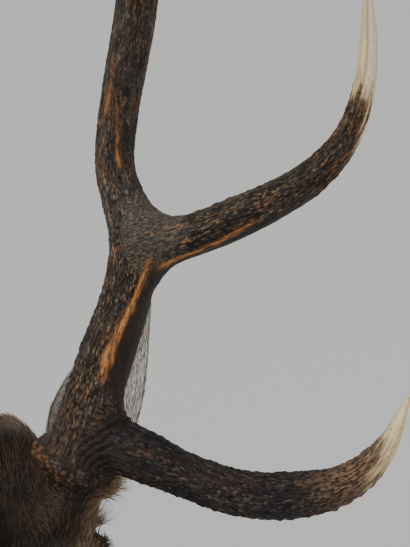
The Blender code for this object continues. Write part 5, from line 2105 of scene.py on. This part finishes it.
def make_ear(side, word):
    m3 = np.array([side, 1, 1])
    axis = unit(np.array(EAR_AXIS) * m3)
    opens = np.array(EAR_OPENS) * m3
    root, base = np.array(EAR_ROOT) * m3, np.array(EAR_BASE) * m3
    bow = unit(np.cross(axis, opens)) * EAR_BOW * side
    line = [root, base] + [base + axis * EAR_LENGTH * k
                           - bow * math.sin(math.pi * k)
                           for k in (0.25, 0.5, 0.75, 1.0)]
    curve = resample(spline([tuple(p) for p in line], 20),
                     0.0022)
    n = len(curve) - 1
    prof = spline([(i / 8, v, 0.0) for i, v in enumerate(EAR_PROFILE)], 12)
    half = 34
    verts, tags = [], []
    for i, p in enumerate(curve):
        t = i / n
        blade = max(0.0, (t - 0.17) / 0.83)
        tangent = unit(curve[min(i + 1, n)] - curve[max(i - 1, 0)])
        ahead = unit(opens - tangent * (opens @ tangent))
        across = unit(np.cross(tangent, ahead))
        share = np.interp(blade, prof[:, 0], prof[:, 1])
        k = smooth01(np.array([t]), 0.10, 0.24)[0]
        wide = (EAR_STALK_WIDTH * (1 - k)
                + max(EAR_HALF_WIDTH * share, 0.0014) * k) - 0.0008
        hollow = min(1.0, blade / 0.16)
        hollow = hollow * hollow * (3 - 2 * hollow)
        back = 0.031 * (1 - 0.72 * blade) - 0.0010
        thick = EAR_THICKNESS * (1 - 0.35 * blade) - 0.0016
        front = -0.019 * (1 - hollow) + (back - thick) * hollow
        lift = back * 0.5 * hollow
        wave = 0.0016 * math.sin(13 * blade + 0.5) * hollow
        ring = []
        for j in range(half):
            x = -math.cos(math.pi * j / (half - 1))
            edge = math.sqrt(max(0, 1 - x * x))
            y = -back * edge ** 0.92
            ring.append((x * wide, y, 0, x))
        for j in range(1, half - 1):
            x = math.cos(math.pi * j / (half - 1))
            edge = math.sqrt(max(0, 1 - x * x))
            y = -front * edge ** 0.92
            rib = 0.0011 * hollow * edge * (
                math.cos(9.0 * x) * (1 - blade) ** 0.6)
            ring.append((x * (wide - 0.0009), y + rib, 1, x))
        verts.append([p + across * x + ahead * (y + lift + wave * abs(xx) ** 2)
                      for x, y, _, xx in ring])
        tags.append([(blade, inner * hollow, xx) for _, _, inner, xx in ring])
    m = len(verts[0])
    shell, faces = rings_shell([np.array(v) for v in verts])
    faces = [tuple(dict.fromkeys(f)) for f in faces]
    tag = np.array([t for row in tags for t in row]
                   + [(0, 0, 0), (1, 0, 0)], float)
    ob = shells_like("ear_%s_skin" % word, shell, faces)
    me = ob.data
    bm = bmesh.new()
    bm.from_mesh(me)
    bmesh.ops.recalc_face_normals(bm, faces=bm.faces)
    bm.to_mesh(me)
    bm.free()
    p = coords(me)
    blade, inner, xx = tag[:, 0], tag[:, 1], tag[:, 2]
    edge = np.abs(xx)
    back_c = mix([0.180, 0.140, 0.098], [0.290, 0.240, 0.175],
                 fbm(p / 0.02, 83, 3))
    back_c = mix(back_c, np.array([0.105, 0.078, 0.055]),
                 0.15 * smooth01(edge, 0.90, 0.99) * smooth01(blade, 0.4, 0.7))
    pale_edge = smooth01(edge, 0.72, 0.92) * (1 - smooth01(blade, 0.35, 0.6)) \
        * smooth01(blade, 0.02, 0.10)
    back_c = mix(back_c, np.array([0.32, 0.26, 0.185]), 0.60 * pale_edge)
    back_c = mix(back_c, np.array([0.060, 0.044, 0.033]),
                 0.6 * smooth01(blade, 0.86, 0.98))
    back_c = mix(back_c, np.array([0.088, 0.062, 0.043]),
                 (1 - smooth01(blade, 0.0, 0.20)) * (1 - 0.8 * pale_edge))
    in_c = mix([0.400, 0.370, 0.330], [0.560, 0.540, 0.500],
               fbm(p / 0.013, 85, 3))
    in_c = mix(in_c, np.array([0.16, 0.115, 0.095]),
               0.75 * (1 - smooth01(blade, 0.05, 0.45))
               * (1 - smooth01(edge, 0.2, 0.8)))
    in_c = mix(in_c, np.array([0.150, 0.118, 0.090]),
               0.20 * smooth01(edge, 0.93, 0.995) * smooth01(blade, 0.45, 0.7))
    col = mix(back_c, in_c, inner)
    paint(me, "Col", np.clip(col, 0, 1))
    scalar(me, "Bare", 0.25 * inner * (1 - smooth01(edge, 0.5, 0.9)))
    uv = np.stack([0.25 + 0.5 * inner + 0.22 * xx * np.where(inner > 0.5, -1, 1),
                   0.05 + 0.9 * blade], 1)
    layer = me.uv_layers.new(name="OFBake")
    idx = np.zeros(len(me.loops), np.int32)
    me.loops.foreach_get("vertex_index", idx)
    layer.data.foreach_set("uv", uv[idx].astype(np.float32).ravel())
    me.shade_smooth()
    me.materials.append(ear_material())
    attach(ob, "root")
    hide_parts("ear_" + word)
    # hair on the back, in the cup and along the rim
    rng = np.random.default_rng(31 if side > 0 else 57)
    nrm = normals(me)
    tri = triangles(me)
    flag = tag[tri].mean(1)
    thin = 1.0
    a, b, c = p[tri[:, 0]], p[tri[:, 1]], p[tri[:, 2]]
    area = 0.5 * np.linalg.norm(np.cross(b - a, c - a), axis=1)

    def place(weight, per_cm2):
        want = area * weight * per_cm2 * 1e4 * thin
        cum = np.cumsum(want)
        total = int(cum[-1])
        pick = (np.arange(total) + rng.random(total)) * (cum[-1] / total)
        k = np.minimum(np.searchsorted(cum, pick), len(tri) - 1)
        r1, r2 = np.sqrt(rng.random(total)), rng.random(total)
        w = np.stack([1 - r1, r1 * (1 - r2), r1 * r2], 1)
        mixed = lambda arr: (arr[tri[k]] * w[:, :, None]).sum(1)
        return (mixed(p), unit(mixed(nrm)), mixed(tag), mixed(uv), mixed(col))

    def hairs(name, data, length, width, lift, way, tone, stray, clump_size,
              tip_gain, root_gain=1.0):
        q, m, tg, uvq, cq = data
        k = len(q)
        lie = way(q, m, tg)
        lie = unit(lie + stray * rng.normal(0, 1, (k, 3)))
        lie = unit(lie - m * (lie * m).sum(1)[:, None])
        ln = length(tg) * rng.uniform(0.7, 1.25, k)
        tn = (tone * rng.uniform(0.7, 1.35, k))[:, None]
        ob = hair_mesh(name, q, m, lie, ln, width * rng.uniform(0.8, 1.2, k),
                       lift * rng.uniform(0.5, 1.5, k), np.full(k, 0.10),
                       rng.normal(0, 0.08, k), np.clip(cq * tn * root_gain, 0, 1),
                       np.clip(cq * tn * tip_gain, 0, 1), uvq, (0.0, 0.5),
                       clump_centre(q, clump_size, 77), 0.4, None)

    along = lambda q, m, tg: np.tile(axis, (len(q), 1))
    backs = (1 - flag[:, 1]) * (flag[:, 0] < 0.985)
    hairs("ear_%s_back_hair" % word, place(backs, 24),
          lambda tg: 0.0105 - 0.0045 * tg[:, 0] - 0.0020 * smooth01(
              np.abs(tg[:, 2]), 0.8, 1.0), 0.00070, 0.11, along, 1.0, 0.12,
          0.007, 1.75, 0.62)
    hairs("ear_%s_base_hair" % word, place(
        (1 - flag[:, 1]) * (1 - smooth01(flag[:, 0], 0.02, 0.20)), 34),
        lambda tg: 0.0170 - 0.0200 * np.clip(tg[:, 0], 0, 0.3), 0.00085, 0.26,
        along, 0.95, 0.22, 0.008, 2.3)
    across_all = unit(np.cross(axis, unit(opens - axis * (opens @ axis))))
    inner_w = flag[:, 1] * smooth01(np.abs(flag[:, 2]), 0.30, 0.85) * \
        smooth01(flag[:, 0], 0.02, 0.15) * (flag[:, 0] < 0.97)

    def inward(q, m, tg):
        s = np.sign(tg[:, 2])[:, None]
        return axis[None] * 0.9 - across_all[None] * s * 0.55
    hairs("ear_%s_cup_hair" % word, place(inner_w, 22),
          lambda tg: 0.020 - 0.010 * tg[:, 0], 0.00080, 0.30, inward, 1.15,
          0.20, 0.010, 1.5, 1.5)
    deep = flag[:, 1] * (1 - smooth01(np.abs(flag[:, 2]), 0.30, 0.85)) * \
        smooth01(flag[:, 0], 0.05, 0.3) * (flag[:, 0] < 0.97)
    hairs("ear_%s_inner_hair" % word, place(deep, 12),
          lambda tg: 0.011 - 0.004 * tg[:, 0], 0.00080, 0.16, along, 1.05, 0.16,
          0.008, 1.35, 1.5)
    return ob


def ear_material():
    mat = bpy.data.materials.get("ear_skin")
    if mat:
        return mat
    mat, nt, bsdf = new_material("ear_skin")
    L = nt.links.new
    col = node(nt, "ShaderNodeAttribute", _attribute_name="Col")
    uv = nt.nodes.new("ShaderNodeUVMap")
    uv.uv_map = "OFBake"
    scale = node(nt, "ShaderNodeMapping")
    scale.inputs["Scale"].default_value = (160, 26, 1)
    L(uv.outputs["UV"], scale.inputs["Vector"])
    hair = node(nt, "ShaderNodeTexNoise", Scale=1.0, Detail=3.0, Roughness=0.6,
                Distortion=0.5)
    L(scale.outputs["Vector"], hair.inputs["Vector"])
    var = ramp(nt, [(0.30, (0.62, 0.60, 0.58)), (0.55, (1.0, 1.0, 1.0)),
                    (0.75, (1.35, 1.32, 1.28))], hair.outputs["Fac"])
    mul = node(nt, "ShaderNodeMix", _data_type="RGBA", _blend_type="MULTIPLY")
    mul.inputs["Factor"].default_value = 1.0
    L(col.outputs["Color"], mul.inputs[6])
    L(var.outputs["Color"], mul.inputs[7])
    L(mul.outputs[2], bsdf.inputs["Base Color"])
    bsdf.inputs["Roughness"].default_value = 0.72
    bump = node(nt, "ShaderNodeBump", Strength=0.6, Distance=0.0008)
    L(hair.outputs["Fac"], bump.inputs["Height"])
    L(bump.outputs["Normal"], bsdf.inputs["Normal"])
    return mat


# ------------------------------------------------------------------ board
BOARD_HALF_WIDTH = 0.205
BOARD_TOP, BOARD_BOTTOM = 0.290, -0.290
BOARD_THICKNESS = 0.022


def make_shield():
    hw, top, low = BOARD_HALF_WIDTH, BOARD_TOP, BOARD_BOTTOM
    knots = ((0.0, top), (0.45 * hw, top - 0.012), (0.80 * hw, top),
             (hw, top - 0.045), (0.94 * hw, top - 0.120), (hw, 0.02),
             (0.90 * hw, -0.105), (0.58 * hw, -0.215), (0.20 * hw, low + 0.016),
             (0.0, low))
    side = spline([(x, z, 0.0) for x, z in knots], 16)
    side[0, 0] = side[-1, 0] = 0.0
    loop = np.array([(x, z) for x, z, _ in side]
                    + [(-x, z) for x, z, _ in side[-2:0:-1]])
    n = len(loop)
    tang = np.roll(loop, -1, 0) - np.roll(loop, 1, 0)
    tang /= np.maximum(np.linalg.norm(tang, axis=1, keepdims=True), 1e-9)
    inward = np.stack([tang[:, 1], -tang[:, 0]], 1)
    if (inward * -loop).sum() < 0:
        inward = -inward
    # from the back edge round the moulding to the field
    T = BOARD_THICKNESS
    steps = [(0.0012, 0.0), (0.0, -0.0012), (0.0, -0.0085), (0.0006, -0.0100),
             (0.0022, -0.0108), (0.0034, -0.0110), (0.0036, -0.0120)]
    for t in np.linspace(0, 1, 14):                    # ogee
        steps.append((0.0040 + 0.0120 * t,
                      -0.0124 - 0.0086 * (t * t * (3 - 2 * t))
                      - 0.0004 * math.sin(math.pi * t)))
    steps += [(0.0166, -0.0217), (0.0176, -T), (0.030, -T)]
    verts = []
    for off, y in steps:
        q = loop + inward * off
        verts.append(np.stack([q[:, 0], np.full(n, y), q[:, 1]], 1))
    field = loop + inward * 0.030
    centre = np.array([0.0, 0.0])
    for s in np.linspace(0.0, 1.0, 14)[1:-1]:
        q = field * (1 - s) + centre * s
        verts.append(np.stack([q[:, 0], np.full(n, -T), q[:, 1]], 1))
    m = len(verts)
    shell = np.vstack(verts + [[(0, -T, 0)], [(0, 0, 0)]])
    faces = []
    for i in range(m - 1):
        for k in range(n):
            j = (k + 1) % n
            faces.append((i * n + k, i * n + j, (i + 1) * n + j, (i + 1) * n + k))
    for k in range(n):
        j = (k + 1) % n
        faces.append((m * n, (m - 1) * n + k, (m - 1) * n + j))
        faces.append((m * n + 1, j, k))
    ob = shells_like("board", shell, faces)
    me = ob.data
    bm = bmesh.new()
    bm.from_mesh(me)
    bmesh.ops.recalc_face_normals(bm, faces=bm.faces)
    bm.to_mesh(me)
    bm.free()
    me.shade_smooth()
    me.set_sharp_from_angle(angle=math.radians(38))
    mat, nt, bsdf = new_material("board_wood")
    L = nt.links.new
    tex = nt.nodes.new("ShaderNodeTexCoord")
    mp = node(nt, "ShaderNodeMapping")
    mp.inputs["Scale"].default_value = (1.0, 1.0, 0.085)
    L(tex.outputs["Object"], mp.inputs["Vector"])
    warp = node(nt, "ShaderNodeTexNoise", Scale=9.0, Detail=3.0)
    L(mp.outputs["Vector"], warp.inputs["Vector"])
    addv = node(nt, "ShaderNodeMix", _data_type="RGBA", _blend_type="ADD")
    addv.inputs["Factor"].default_value = 0.10
    L(mp.outputs["Vector"], addv.inputs[6])
    L(warp.outputs["Color"], addv.inputs[7])
    rings = node(nt, "ShaderNodeTexWave", Scale=9.0, Distortion=11.0,
                 Detail=3.0, _wave_type="BANDS", _bands_direction="X")
    rings.inputs["Detail Scale"].default_value = 1.2
    L(addv.outputs[2], rings.inputs["Vector"])
    pore = node(nt, "ShaderNodeTexNoise", Scale=950.0, Detail=2.0,
                Roughness=0.7)
    mp2 = node(nt, "ShaderNodeMapping")
    mp2.inputs["Scale"].default_value = (1.0, 1.0, 0.035)
    L(tex.outputs["Object"], mp2.inputs["Vector"])
    L(mp2.outputs["Vector"], pore.inputs["Vector"])
    wood = ramp(nt, [(0.0, (0.070, 0.030, 0.013)), (0.35, (0.092, 0.041, 0.018)),
                     (0.7, (0.120, 0.055, 0.024)), (1.0, (0.145, 0.068, 0.031))],
                rings.outputs["Fac"])
    dark = ramp(nt, [(0.34, (0.45, 0.42, 0.40)), (0.46, (1, 1, 1))],
                pore.outputs["Fac"])
    mul = node(nt, "ShaderNodeMix", _data_type="RGBA", _blend_type="MULTIPLY")
    mul.inputs["Factor"].default_value = 0.8
    L(wood.outputs["Color"], mul.inputs[6])
    L(dark.outputs["Color"], mul.inputs[7])
    L(mul.outputs[2], bsdf.inputs["Base Color"])
    bsdf.inputs["Roughness"].default_value = 0.36
    bsdf.inputs["Coat Weight"].default_value = 0.5
    bsdf.inputs["Coat Roughness"].default_value = 0.15
    bump = node(nt, "ShaderNodeBump", Strength=0.25, Distance=0.0006)
    L(pore.outputs["Fac"], bump.inputs["Height"])
    L(bump.outputs["Normal"], bsdf.inputs["Normal"])
    me.materials.append(mat)
    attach(ob, "root")
    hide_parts("board")
    return ob


# ------------------------------------------------------------------ build
make_camera()
make_stage()
ANTLERS = True
if ANTLERS:
    make_antler(1, "left", 7)
    make_antler(-1, "right", 4007)
skin, skin_count = make_skin()
make_eye(1, "left")
make_eye(-1, "right")
make_ear(1, "left")
make_ear(-1, "right")
make_shield()
make_coat(skin, skin_count)
